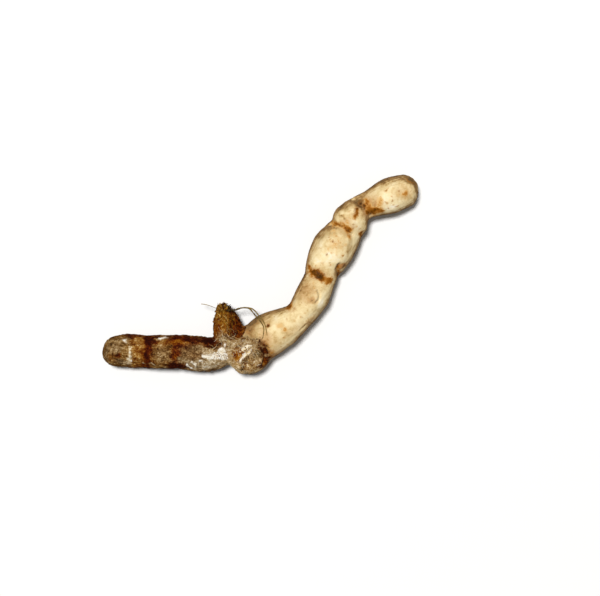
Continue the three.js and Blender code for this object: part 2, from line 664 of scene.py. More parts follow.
class Wiring:
    """Adds nodes to a shader's tree and joins them."""

    COLUMNS = 9
    COLUMN = 210
    ROW = -260
    MIX_INPUTS = (0, 6, 7)
    MIX_OUTPUT = 2
    DOT_EDGE = (1.5, 0.6)

    def __init__(self, tree: bpy.types.NodeTree) -> None:
        """Takes the tree to work in."""
        self.tree = tree

    def add(self, kind: str, *fed: object, **settings: object) -> bpy.types.Node:
        """Adds a node.

        Args:
            kind: The node's type.
            fed: What its first sockets get, in order.
            settings: Its properties.

        Returns:
            The node.
        """
        count = len(self.tree.nodes)
        node = self.tree.nodes.new(kind)
        node.location = (self.COLUMN * (count % self.COLUMNS), self.ROW * (count // self.COLUMNS))
        for name, value in settings.items():
            setattr(node, name, value)
        for socket, value in zip(node.inputs, fed):
            self.feed(socket, value)
        return node

    def feed(self, socket: Socket, value: object) -> None:
        """Joins a socket to another one, or sets its value.

        Args:
            socket: The socket to feed.
            value: The other socket, or the value.
        """
        if isinstance(value, Socket):
            self.tree.links.new(value, socket)
        else:
            socket.default_value = value

    def give(self, node: bpy.types.Node, **values: object) -> bpy.types.Node:
        """Feeds sockets of a node.

        Args:
            node: The node.
            values: What the sockets get, by their names, with _ for a space.

        Returns:
            The node.
        """
        for name, value in values.items():
            self.feed(node.inputs[name.replace("_", " ")], value)
        return node

    def channel(self, channel: Channel) -> Socket:
        """The value painted on the skin in one channel."""
        node = self.add("ShaderNodeAttribute", attribute_name=channel.value)
        return node.outputs["Vector" if channel is Channel.GRAIN else "Fac"]

    def millimetres(self) -> Socket:
        """The place in the piece, in millimetres."""
        place = self.add("ShaderNodeTexCoord").outputs["Object"]
        node = self.add("ShaderNodeVectorMath", place, operation="SCALE")
        return self.give(node, Scale=1.0 / MM).outputs[0]

    def stretch(self, place: Socket, by: Triple) -> Socket:
        """A place multiplied along each axis."""
        return self.add("ShaderNodeVectorMath", place, by, operation="MULTIPLY").outputs[0]

    def maths(self, operation: str, first: object, second: object = 0.0, clamp: bool = False) -> Socket:
        """One step of reckoning with two values, held between 0 and 1 where it is clamped."""
        return self.add("ShaderNodeMath", first, second, operation=operation, use_clamp=clamp).outputs[0]

    def total(self, weights: Weights, *parts: object) -> Socket:
        """Adds up values.

        Args:
            weights: A start, then how many times each value is taken.
            parts: The values.

        Returns:
            The sum.
        """
        value, *shares = weights
        for part, share in zip(parts, shares):
            value = self.add("ShaderNodeMath", part, share, value, operation="MULTIPLY_ADD").outputs[0]
        return value

    def span(self, value: Socket, low: object, high: object) -> Socket:
        """Rises from 0 at low to 1 at high with no corner."""
        return self.add("ShaderNodeMapRange", value, low, high, interpolation_type="SMOOTHSTEP").outputs[0]

    def noise(
        self, place: Socket, size: object, detail: float, roughness: float, twist: float = 0.0
    ) -> Socket:
        """Soft noise from 0 to 1.

        Args:
            place: Where, in millimetres.
            size: The size of a blot, in millimetres.
            detail: How many finer sizes are added.
            roughness: Strength of the finer sizes.
            twist: How far the blots are stirred.

        Returns:
            The noise's value.
        """
        node = self.add("ShaderNodeTexNoise")
        scale = self.maths("DIVIDE", 1.0, size) if isinstance(size, Socket) else 1.0 / size
        self.give(node, Vector=place, Scale=scale, Detail=detail, Roughness=roughness, Distortion=twist)
        return node.outputs["Fac"]

    def dots(self, place: Socket, size: float, radius: float, share: float) -> Socket:
        """A mask of scattered round dots.

        Args:
            place: Where, in millimetres.
            size: The distance between dots.
            radius: The radius of a dot.
            share: How many of the places hold a dot, from 0 to 1.

        Returns:
            The mask.
        """
        node = self.give(self.add("ShaderNodeTexVoronoi"), Vector=place, Scale=1.0 / size)
        pick = self.add("ShaderNodeSeparateColor", node.outputs["Color"])
        chosen = self.maths("LESS_THAN", pick.outputs[0], share)
        near = self.span(node.outputs["Distance"], *(edge * radius / size for edge in self.DOT_EDGE))
        return self.maths("MULTIPLY", chosen, near)

    def mix(self, mask: Socket, low: object, high: object) -> Socket:
        """Lays one colour over another.

        Args:
            mask: How much of the upper colour shows.
            low: The lower colour.
            high: The upper colour.

        Returns:
            The colour.
        """
        node = self.add("ShaderNodeMix", data_type="RGBA")
        colours = [colour(value) if isinstance(value, str) else value for value in (low, high)]
        for index, value in zip(self.MIX_INPUTS, (mask, *colours)):
            self.feed(node.inputs[index], value)
        return node.outputs[self.MIX_OUTPUT]

    def ramp(self, value: Socket, stops: Stops) -> Socket:
        """A colour for each height of a value.

        Args:
            value: From 0 to 1.
            stops: Heights and their colours.

        Returns:
            The colour.
        """
        node = self.add("ShaderNodeValToRGB", value)
        elements = node.color_ramp.elements
        while len(elements) < len(stops):
            elements.new(MIDDLE)
        for element, (height, code) in zip(elements, stops):
            element.position = height
            element.color = colour(code)
        return node.outputs[0]

    def bump(self, shader: bpy.types.Node, height: Socket, distance: float) -> None:
        """Tilts a shader's normal as a height says."""
        node = self.give(self.add("ShaderNodeBump"), Distance=distance, Height=height)
        self.give(shader, Normal=node.outputs[0])

    def group(self, tree: bpy.types.NodeTree, **values: object) -> bpy.types.Node:
        """Places a shared effect."""
        return self.give(self.add("ShaderNodeGroup", node_tree=tree), **values)


class Effect:
    """The start of a shared effect: a node group with named inputs and outputs, built once."""

    name = "effect"
    inputs: dict[str, tuple[str, object]] = {}
    outputs: dict[str, str] = {}

    @classmethod
    def tree(cls) -> bpy.types.NodeTree:
        """The effect's node group, made when it is first asked for.

        Returns:
            The node group.
        """
        if cls.name in bpy.data.node_groups:
            return bpy.data.node_groups[cls.name]
        tree = bpy.data.node_groups.new(cls.name, "ShaderNodeTree")
        for name, (kind, value) in cls.inputs.items():
            socket = tree.interface.new_socket(name, in_out="INPUT", socket_type=kind)
            if value is not None:
                socket.default_value = value
        for name, kind in cls.outputs.items():
            tree.interface.new_socket(name, in_out="OUTPUT", socket_type=kind)
        wiring = Wiring(tree)
        given = wiring.add("NodeGroupInput").outputs
        result = wiring.add("NodeGroupOutput").inputs
        cls.wire(wiring, given, result)
        return tree

    @classmethod
    def wire(cls, wiring: Wiring, given: object, result: object) -> None:
        """Joins the group's inputs to its outputs."""
        raise NotImplementedError


class RaggedEdge(Effect):
    """Turns a margin in millimetres into a mask with a torn, uneven edge."""

    name = "ragged_edge"
    inputs = {
        "Margin": ("NodeSocketFloat", 0.0),
        "Place": ("NodeSocketVector", None),
        "Size": ("NodeSocketFloat", 1.5),
        "Tear": ("NodeSocketFloat", 0.6),
        "Softness": ("NodeSocketFloat", 0.15),
    }
    outputs = {"Mask": "NodeSocketFloat"}
    detail = 4.0
    roughness = 0.6
    shift: Weights = (0.0, 4.0, 1.0)

    @classmethod
    def wire(cls, wiring: Wiring, given: object, result: object) -> None:
        """Shifts the margin by noise and cuts it at zero.

        Args:
            wiring: Works in the group.
            given: The sockets of its inputs.
            result: The sockets of its outputs.
        """
        noise = wiring.noise(given["Place"], given["Size"], cls.detail, cls.roughness)
        swing = wiring.maths("MULTIPLY", wiring.maths("SUBTRACT", noise, MIDDLE), given["Tear"])
        edge = wiring.total(cls.shift, swing, given["Margin"])
        below = wiring.maths("MULTIPLY", given["Softness"], -1.0)
        wiring.feed(result["Mask"], wiring.span(edge, below, given["Softness"]))


class DryGrit(Effect):
    """Fine dry grit: a height and a tone that go together."""

    name = "dry_grit"
    inputs = {
        "Place": ("NodeSocketVector", None),
        "Size": ("NodeSocketFloat", 0.6),
        "Contrast": ("NodeSocketFloat", 0.2),
    }
    outputs = {"Tone": "NodeSocketFloat", "Height": "NodeSocketFloat"}
    detail = 5.0
    roughness = 0.65

    @classmethod
    def wire(cls, wiring: Wiring, given: object, result: object) -> None:
        """Spreads the noise's middle out for the tone, and leaves it as it is for the height.

        Args:
            wiring: Works in the group.
            given: The sockets of its inputs.
            result: The sockets of its outputs.
        """
        noise = wiring.noise(given["Place"], given["Size"], cls.detail, cls.roughness)
        low = wiring.maths("SUBTRACT", MIDDLE, given["Contrast"])
        high = wiring.maths("ADD", MIDDLE, given["Contrast"])
        wiring.feed(result["Tone"], wiring.span(noise, low, high))
        wiring.feed(result["Height"], noise)


def blank_material(name: str) -> tuple[bpy.types.Material, Wiring, bpy.types.Node]:
    """A material with nothing but its shader.

    Args:
        name: The material's name.

    Returns:
        The material, the wiring of its tree, and its Principled BSDF.
    """
    material = bpy.data.materials.new(name)
    material.use_nodes = True
    wiring = Wiring(material.node_tree)
    return material, wiring, material.node_tree.nodes["Principled BSDF"]


@dataclass(frozen=True)
class Blots:
    """Soft noise in a finish: its size, its finer sizes and their strength, and how far it is stirred."""

    size: float
    detail: float = 4.0
    roughness: float = 0.6
    twist: float = 0.0

    def on(self, wiring: Wiring, place: Socket) -> Socket:
        """The noise's value, from 0 to 1, at a place in millimetres."""
        return wiring.noise(place, self.size, self.detail, self.roughness, self.twist)


@dataclass(frozen=True)
class TornEdge:
    """How the edge of a patch is torn: the size of a tear, how far it goes, and how soft it is."""

    size: float
    tear: float
    softness: float

    def mask(self, wiring: Wiring, margin: Socket, place: Socket) -> Socket:
        """The patch with its edge torn, from the distance inside it."""
        sizes = {"Size": self.size, "Tear": self.tear, "Softness": self.softness}
        return wiring.group(RaggedEdge.tree(), Margin=margin, Place=place, **sizes).outputs["Mask"]


@dataclass(frozen=True)
class RootSkinFinish:
    """Peeled cream skin, dark bark where it stayed on, stains, chalky bloom and grime.

    Each Weights field is a start and then the weight of every part that the finish adds up there, and
    each Span field is where a mask starts to show and where it is full.
    """

    cream: Stops = (
        (0.0, "5f3c1a"), (0.16, "a8804a"), (0.34, "d8ba82"), (0.5, "ecd4a0"),
        (0.66, "f6e2b2"), (0.82, "fbedcb"), (1.0, "fffaee"),
    )
    tan: str = "bd8a56"
    green_grey: str = "857a52"
    freckle: str = "a8763a"
    pore: str = "6d5527"
    plain_bark: Stops = (
        (0.0, "1c0b00"), (0.25, "472805"), (0.42, "6d4717"), (0.55, "88612e"),
        (0.7, "a6834c"), (0.85, "ceb17e"), (1.0, "efe2c8"),
    )
    rusty_bark: Stops = (
        (0.0, "280500"), (0.25, "531600"), (0.42, "743300"), (0.55, "8a5005"),
        (0.7, "a46d1b"), (0.85, "c49546"), (1.0, "e4c68c"),
    )
    grey_bark: Stops = (
        (0.0, "2a1c10"), (0.25, "5f4b2e"), (0.42, "866e49"), (0.55, "a38a65"),
        (0.7, "beaa86"), (0.85, "ddcfb3"), (1.0, "fbf5e6"),
    )
    stain: Stops = (
        (0.0, "e0b87a"), (0.2, "c58c42"), (0.4, "9c5d14"), (0.6, "704004"), (0.8, "482b05"), (1.0, "221103"),
    )
    chalk: Stops = ((0.05, "d6c7a8"), (0.35, "f3e9d2"), (0.65, "fffcf4"))
    grime: str = "341a05"

    grit_size: float = 0.7
    grit_contrast: float = 0.22
    patches: Blots = Blots(2.0)
    curls: Blots = Blots(0.7, roughness=0.65, twist=1.4)

    broad: Blots = Blots(6.0, detail=2.0, roughness=0.5)
    cream_light: Weights = (-0.42, 0.75, 0.75, 0.4)
    cream_toned: Weights = (0.0, 1.0, 0.4)
    tan_span: Span = (0.3, 0.6)
    grey_span: Span = (0.25, 0.6)
    grey_strength: float = 0.8
    freckles: Blots = Blots(0.8, detail=3.0)
    freckled: Weights = (0.0, 1.0, 0.16)
    freckle_span: Span = (0.64, 0.74)
    freckle_strength: float = 0.6
    pore_gap: float = 4.0
    pore_radius: float = 0.26
    pore_share: float = 0.3
    pore_strength: float = 0.8

    streaks: Blots = Blots(1.5, twist=0.4)
    streak_stretch: Triple = (0.4, 1.0, 1.0)
    blots: Blots = Blots(2.4, detail=3.0, roughness=0.55, twist=0.6)
    bends: Blots = Blots(2.0, detail=2.5, roughness=0.55, twist=1.3)
    line_span: Span = (0.04, 0.0)
    mottle: Weights = (-1.1, 1.0, 1.4, 0.65, 0.22)
    bark_toned: Weights = (0.0, 1.0, 0.5)

    bark_edge: TornEdge = TornEdge(1.6, 1.0, 0.7)
    stain_edge: TornEdge = TornEdge(1.0, 0.34, 0.5)
    stain_cover: Weights = (0.68, 0.75)
    stain_inside: Span = (-0.2, 1.0)
    stain_depth: Weights = (-1.02, 1.0, 1.0, 0.6, 0.35)
    pale_edge: TornEdge = TornEdge(0.9, 0.36, 0.28)
    grime_span: Span = (0.2, 0.5)

    roughness: Weights = (0.46, 0.26, 0.1)
    gloss: float = 0.06
    wrinkles: Blots = Blots(1.3, roughness=0.55)
    wrinkle_stretch: Triple = (2.2, 1.0, 1.0)
    relief: Weights = (0.0, 0.05, 0.05, 0.16, 0.05, 0.06)

    def material(self) -> bpy.types.Material:
        """Builds the finish.

        Returns:
            The material.
        """
        material, wiring, shader = blank_material("root_skin")
        place = wiring.millimetres()
        grain = wiring.channel(Channel.GRAIN)
        paint = {channel: wiring.channel(channel) for channel in Channel if channel is not Channel.GRAIN}
        fine = wiring.group(DryGrit.tree(), Place=place, Size=self.grit_size, Contrast=self.grit_contrast)
        tone, fine_height = fine.outputs["Tone"], fine.outputs["Height"]
        patches = self.patches.on(wiring, place)
        curls = self.curls.on(wiring, place)

        skin = self._cream(wiring, place, paint, patches, fine_height)
        bark, mottle = self._bark(wiring, place, grain, paint, curls)
        barked = self.bark_edge.mask(wiring, paint[Channel.BARK], place)
        skin = wiring.mix(barked, skin, bark)
        stained = self.stain_edge.mask(wiring, paint[Channel.STAIN], place)
        stained = wiring.maths("MULTIPLY", stained, wiring.total(self.stain_cover, curls), clamp=True)
        inside = wiring.span(paint[Channel.STAIN], *self.stain_inside)
        depth = wiring.total(self.stain_depth, paint[Channel.DEPTH], patches, curls, inside)
        skin = wiring.mix(stained, skin, wiring.ramp(depth, self.stain))
        pale = self.pale_edge.mask(wiring, paint[Channel.PALE], place)
        skin = wiring.mix(pale, skin, wiring.ramp(mottle, self.chalk))
        dirty = wiring.maths("MULTIPLY", paint[Channel.GRIME], wiring.span(fine_height, *self.grime_span))
        skin = wiring.mix(dirty, skin, self.grime)
        rough = wiring.total(self.roughness, barked, tone)
        wiring.give(shader, Base_Color=skin, Roughness=rough, Specular_IOR_Level=self.gloss)

        wrinkle = self.wrinkles.on(wiring, wiring.stretch(grain, self.wrinkle_stretch))
        rind = wiring.maths("MULTIPLY", barked, mottle)
        wiring.bump(shader, wiring.total(self.relief, wrinkle, fine_height, rind, stained, pale), MM)
        return material

    def _cream(
        self, wiring: Wiring, place: Socket, paint: dict[Channel, Socket], patches: Socket, fine: Socket
    ) -> Socket:
        """The peeled skin: cream with tan and green-grey areas, freckles and pores."""
        light = wiring.total(self.cream_light, self.broad.on(wiring, place), patches, fine)
        skin = wiring.ramp(wiring.total(self.cream_toned, light, paint[Channel.TONE]), self.cream)
        warm = wiring.maths("MULTIPLY", paint[Channel.WARM], wiring.span(patches, *self.tan_span))
        skin = wiring.mix(warm, skin, self.tan)
        grey = wiring.maths("MULTIPLY", paint[Channel.GREY], wiring.span(fine, *self.grey_span))
        skin = wiring.mix(wiring.maths("MULTIPLY", grey, self.grey_strength), skin, self.green_grey)
        speckle = wiring.total(self.freckled, self.freckles.on(wiring, place), paint[Channel.WARM])
        speckle = wiring.span(speckle, *self.freckle_span)
        skin = wiring.mix(wiring.maths("MULTIPLY", speckle, self.freckle_strength), skin, self.freckle)
        pores = wiring.dots(place, self.pore_gap, self.pore_radius, self.pore_share)
        return wiring.mix(wiring.maths("MULTIPLY", pores, self.pore_strength), skin, self.pore)

    def _bark(
        self, wiring: Wiring, place: Socket, grain: Socket, paint: dict[Channel, Socket], curls: Socket
    ) -> tuple[Socket, Socket]:
        """The bark that stayed on: its colour and its mottling."""
        streak = self.streaks.on(wiring, wiring.stretch(grain, self.streak_stretch))
        blots = self.blots.on(wiring, place)
        bends = wiring.maths("SUBTRACT", self.bends.on(wiring, place), MIDDLE)
        lines = wiring.span(wiring.maths("ABSOLUTE", bends), *self.line_span)
        mottle = wiring.total(self.mottle, blots, curls, streak, lines)
        light = wiring.total(self.bark_toned, mottle, paint[Channel.TONE])
        bark = wiring.ramp(light, self.plain_bark)
        bark = wiring.mix(paint[Channel.WARM], bark, wiring.ramp(light, self.rusty_bark))
        bark = wiring.mix(paint[Channel.GREY], bark, wiring.ramp(light, self.grey_bark))
        return bark, mottle


@dataclass(frozen=True)
class LooseFinish:
    """Dry fibre, crumbs or splinters, each as light as its painted tone."""

    name: str
    stops: Stops
    grit_size: float = 0.8
    grit_contrast: float = 0.3
    light: Weights = (0.3, 0.5, 0.4)
    roughness: float = 0.75
    gloss: float = 0.1
    bump: float = 0.05

    def material(self) -> bpy.types.Material:
        """Builds the finish.

        Returns:
            The material.
        """
        material, wiring, shader = blank_material(self.name)
        place = wiring.millimetres()
        grit = wiring.group(DryGrit.tree(), Place=place, Size=self.grit_size, Contrast=self.grit_contrast)
        light = wiring.total(self.light, wiring.channel(Channel.TONE), grit.outputs["Tone"])
        colours = wiring.ramp(light, self.stops)
        wiring.give(shader, Base_Color=colours, Roughness=self.roughness, Specular_IOR_Level=self.gloss)
        wiring.bump(shader, grit.outputs["Height"], self.bump * MM)
        return material


# The root's sub-assemblies.

STIR = Pattern(0.5, 1.3, layers=1)


@dataclass
class BeadedLimb:
    """The long cream limb: five beads and the four waists between them, bark left only in the dips.

    A waist has its place along the limb, its half width and its depth, and a patch of freckles has its
    middle, its spread, how many freckles it holds and how dark they are.
    """

    start: Place = (3.0, -22.0)
    start_edge: Span = (-3.0, 2.0)
    lumps: Pattern = Pattern(0.16, 7.0, layers=3)
    wrinkles: Pattern = Pattern(0.05, pitch=(0.16, 0.7, 0.7), folded=True)
    waist_sway: Pattern = Pattern(0.9, 4.0, layers=1)
    waist_spread: float = 1.6
    waist_share: float = 0.5
    waist_ribs: Pattern = Pattern(0.14, pitch=(1.25, 0.16, 0.16), shift=3.0, folded=True)
    tip: tuple[Place, Place] = ((43.0, 27.0), (48.0, 28.5))
    tip_lines: Pattern = Pattern(0.1, pitch=(1.0, 0.13, 0.13), shift=9.0, folded=True)
    waists: tuple[tuple[Place, float, float], ...] = (
        ((13.6, -14.6), 1.6, 0.2), ((20.6, -1.2), 1.5, 0.3), ((30.2, 16.2), 1.0, 0.5),
        ((36.0, 23.2), 1.2, 0.55),
    )
    creases: tuple[Streak, ...] = (
        Streak(((17.2, 1.6), (20.2, 0.6), (23.6, -1.4)), 0.9, 0.32),
        Streak(((27.6, 2.9), (27.0, 1.6), (27.7, -0.4)), 0.9, 0.9),
        Streak(((24.2, 17.4), (27.2, 16.9), (29.6, 15.8), (31.6, 13.6)), 0.8, 0.42),
        Streak(((32.4, 26.2), (34.3, 24.6), (36.4, 22.8), (38.8, 20.2)), 0.9, 0.65),
        Streak(((27.2, 19.8), (28.3, 20.0), (29.2, 19.0), (29.5, 18.3)), 0.42, 0.2),
        Streak(((20.0, -5.6), (20.8, -7.2), (20.5, -8.9), (19.4, -9.8)), 0.46, 0.34),
        Streak(((19.4, -6.4), (19.8, -7.7), (19.4, -9.1)), 0.55, -0.3),
        Streak(((17.8, -4.5), (18.8, -5.6), (18.6, -7.6), (18.1, -9.4)), 0.44, 0.22),
        Streak(((15.0, -10.1), (16.7, -10.5), (18.1, -9.4)), 0.42, 0.16),
        Streak(((13.8, -5.6), (14.6, -4.2), (16.4, -3.9)), 0.42, 0.14),
        Streak(((15.2, -7.6), (16.2, -8.9), (17.4, -9.0)), 0.42, 0.1),
        Streak(((14.2, -19.6), (15.4, -18.6), (16.0, -17.7)), 0.42, 0.22),
        Streak(((49.8, 33.8), (51.2, 32.4), (53.0, 31.6)), 0.42, 0.2),
        Streak(((52.4, 33.2), (53.6, 31.4), (55.0, 29.6)), 0.42, 0.18),
        Streak(((51.6, 34.4), (54.4, 32.6)), 0.45, 0.18), Streak(((44.4, 31.8), (45.3, 29.2)), 0.42, 0.13),
        Streak(((45.7, 32.3), (46.5, 29.8)), 0.42, 0.15), Streak(((46.8, 32.8), (47.9, 30.0)), 0.42, 0.14),
        Streak(((48.2, 33.2), (49.1, 30.8)), 0.42, 0.12),
    )
    pits: tuple[Spot, ...] = (
        Spot(2.7, -17.8, 0.55, 0.45, 0, 0.5), Spot(34.2, 24.4, 1.5, 1.0, -30, 0.35),
        Spot(33.3, 22.7, 0.5, 0.4, 0, 0.3), Spot(50.0, 27.8, 1.0, 0.8, 0, -0.12),
        Spot(43.9, 29.0, 0.4, 0.4, 0, 0.15), Spot(2.0, -20.6, 2.6, 4.5, -20, 0.35),
        Spot(33.4, 27.2, 2.4, 1.3, 40, -0.7), Spot(54.6, 32.2, 2.0, 2.0, 0, -0.35),
    )
    stains: Marks = (
        Streak(((16.9, 2.9), (17.2, 1.4), (18.0, 0.4)), 0.9, 0.38), Spot(18.6, 0.0, 1.9, 1.4, -14, 0.5),
        Spot(20.5, -0.4, 2.1, 1.7, -40, 0.6), Spot(21.3, -1.7, 1.8, 1.2, -25, 0.5),
        Streak(((22.0, -1.7), (23.2, -2.5), (24.6, -2.0)), 1.1, 0.38),
        Streak(((26.9, 2.6), (27.2, 0.8), (27.8, -0.8)), 0.75, 0.45),
        Streak(((22.2, -1.0), (23.4, -1.5), (25.0, -1.2)), 0.7, 0.42),
        Streak(((24.9, 17.9), (26.2, 17.7), (27.7, 17.5)), 0.8, 0.42), Spot(30.0, 14.8, 0.8, 0.7, 0, 0.35),
        Streak(((24.9, 17.5), (27.2, 16.9), (29.0, 16.4)), 0.9, 0.12),
        Streak(((29.0, 16.7), (30.3, 16.1), (31.0, 14.9)), 1.15, 0.3),
        Streak(((30.4, 18.2), (30.6, 17.0)), 0.4, 0.2), Spot(29.9, 15.9, 1.1, 0.9, 0, 0.32),
        Spot(31.1, 12.8, 0.95, 0.6, -45, 0.42), Streak(((34.9, 14.7), (35.7, 12.8)), 0.9, 0.4),
        Streak(((33.5, 22.6), (33.5, 20.6), (32.7, 19.3)), 0.7, 0.38), Spot(33.4, 22.6, 0.8, 0.5, 60, 0.8),
        Streak(((36.9, 25.6), (37.8, 24.2), (38.6, 22.6)), 0.95, 0.24),
        Streak(((38.2, 22.2), (40.0, 21.5), (41.6, 21.9)), 1.6, 0.34), Spot(38.2, 23.7, 1.1, 0.8, -40, 0.42),
        Spot(36.4, 23.9, 1.2, 0.9, -50, 0.62), Spot(40.2, 22.3, 2.1, 1.4, 0, 0.4),
        Streak(((41.4, 23.6), (41.4, 25.6)), 1.05, 0.02), Spot(34.9, 24.8, 1.2, 0.75, -35, 0.74),
        Streak(((2.2, -24.4), (4.0, -25.0)), 0.25, 0.45), Streak(((2.6, -25.6), (4.6, -26.4)), 0.3, 0.4),
        Streak(((3.2, -27.0), (5.0, -27.2)), 0.25, 0.45), Streak(((3.4, -28.0), (4.6, -28.6)), 0.35, 0.5),
        Spot(6.9, -17.8, 1.2, 0.85, -20, 0.05), Spot(8.6, -19.2, 1.4, 0.75, -35, 0.12),
        Spot(10.3, -11.1, 1.9, 1.4, -60, 0.5), Spot(50.0, 27.8, 1.4, 1.1, 20, 0.24),
        Streak(((50.4, 33.4), (51.6, 32.4), (52.9, 31.9), (54.2, 31.1)), 0.2, 0.6),
        Spot(2.7, -17.8, 0.65, 0.55, 0, 0.75), Spot(8.7, -22.3, 0.45, 0.35, 0, 0.5),
        Spot(43.9, 29.0, 0.65, 0.5, 0, 0.35), Spot(25.4, 14.9, 0.9, 0.5, 0, 0.12),
        Spot(28.4, 6.0, 0.45, 0.4, 0, 0.4), Spot(24.3, 3.4, 0.4, 0.35, 0, 0.4),
        Spot(21.5, 3.6, 0.4, 0.35, 0, 0.35),
        Streak(((9.6, -16.2), (11.4, -14.8), (12.8, -15.6)), 1.3, 0.4, UNDER),
        Spot(13.6, -17.2, 1.6, 1.0, 20, 0.6, UNDER),
        Streak(((17.4, 0.2), (19.4, -0.8), (21.4, -0.2), (23.6, -1.6)), 1.1, 0.5, UNDER),
        Spot(20.2, -2.6, 2.2, 1.0, -10, 0.3, UNDER),
        Streak(((26.2, 17.4), (28.6, 17.6), (30.8, 16.2), (33.0, 15.8)), 0.9, 0.42, UNDER),
        Spot(30.2, 18.8, 2.0, 1.1, -40, 0.55, UNDER),
        Streak(((34.6, 25.0), (36.0, 23.0), (38.0, 21.8)), 1.7, 0.45, UNDER),
        Streak(((37.0, 24.6), (39.8, 24.0), (41.6, 25.2)), 1.2, 0.2, UNDER),
        Spot(35.8, 22.6, 1.2, 0.8, -50, 0.75, UNDER), Spot(6.6, -21.8, 1.6, 0.9, 40, 0.2, UNDER),
        Spot(8.4, -21.0, 0.8, 0.6, 10, 0.45, UNDER),
        Streak(((23.4, 6.6), (24.0, 8.6), (23.6, 10.0)), 0.7, 0.2, UNDER),
        Spot(28.2, 10.4, 0.9, 0.6, 60, 0.5, UNDER),
        Streak(((45.0, 24.6), (47.2, 25.8), (48.6, 25.6)), 0.7, 0.15, UNDER),
        Spot(52.2, 30.2, 1.3, 0.9, 80, 0.35, UNDER),
    )
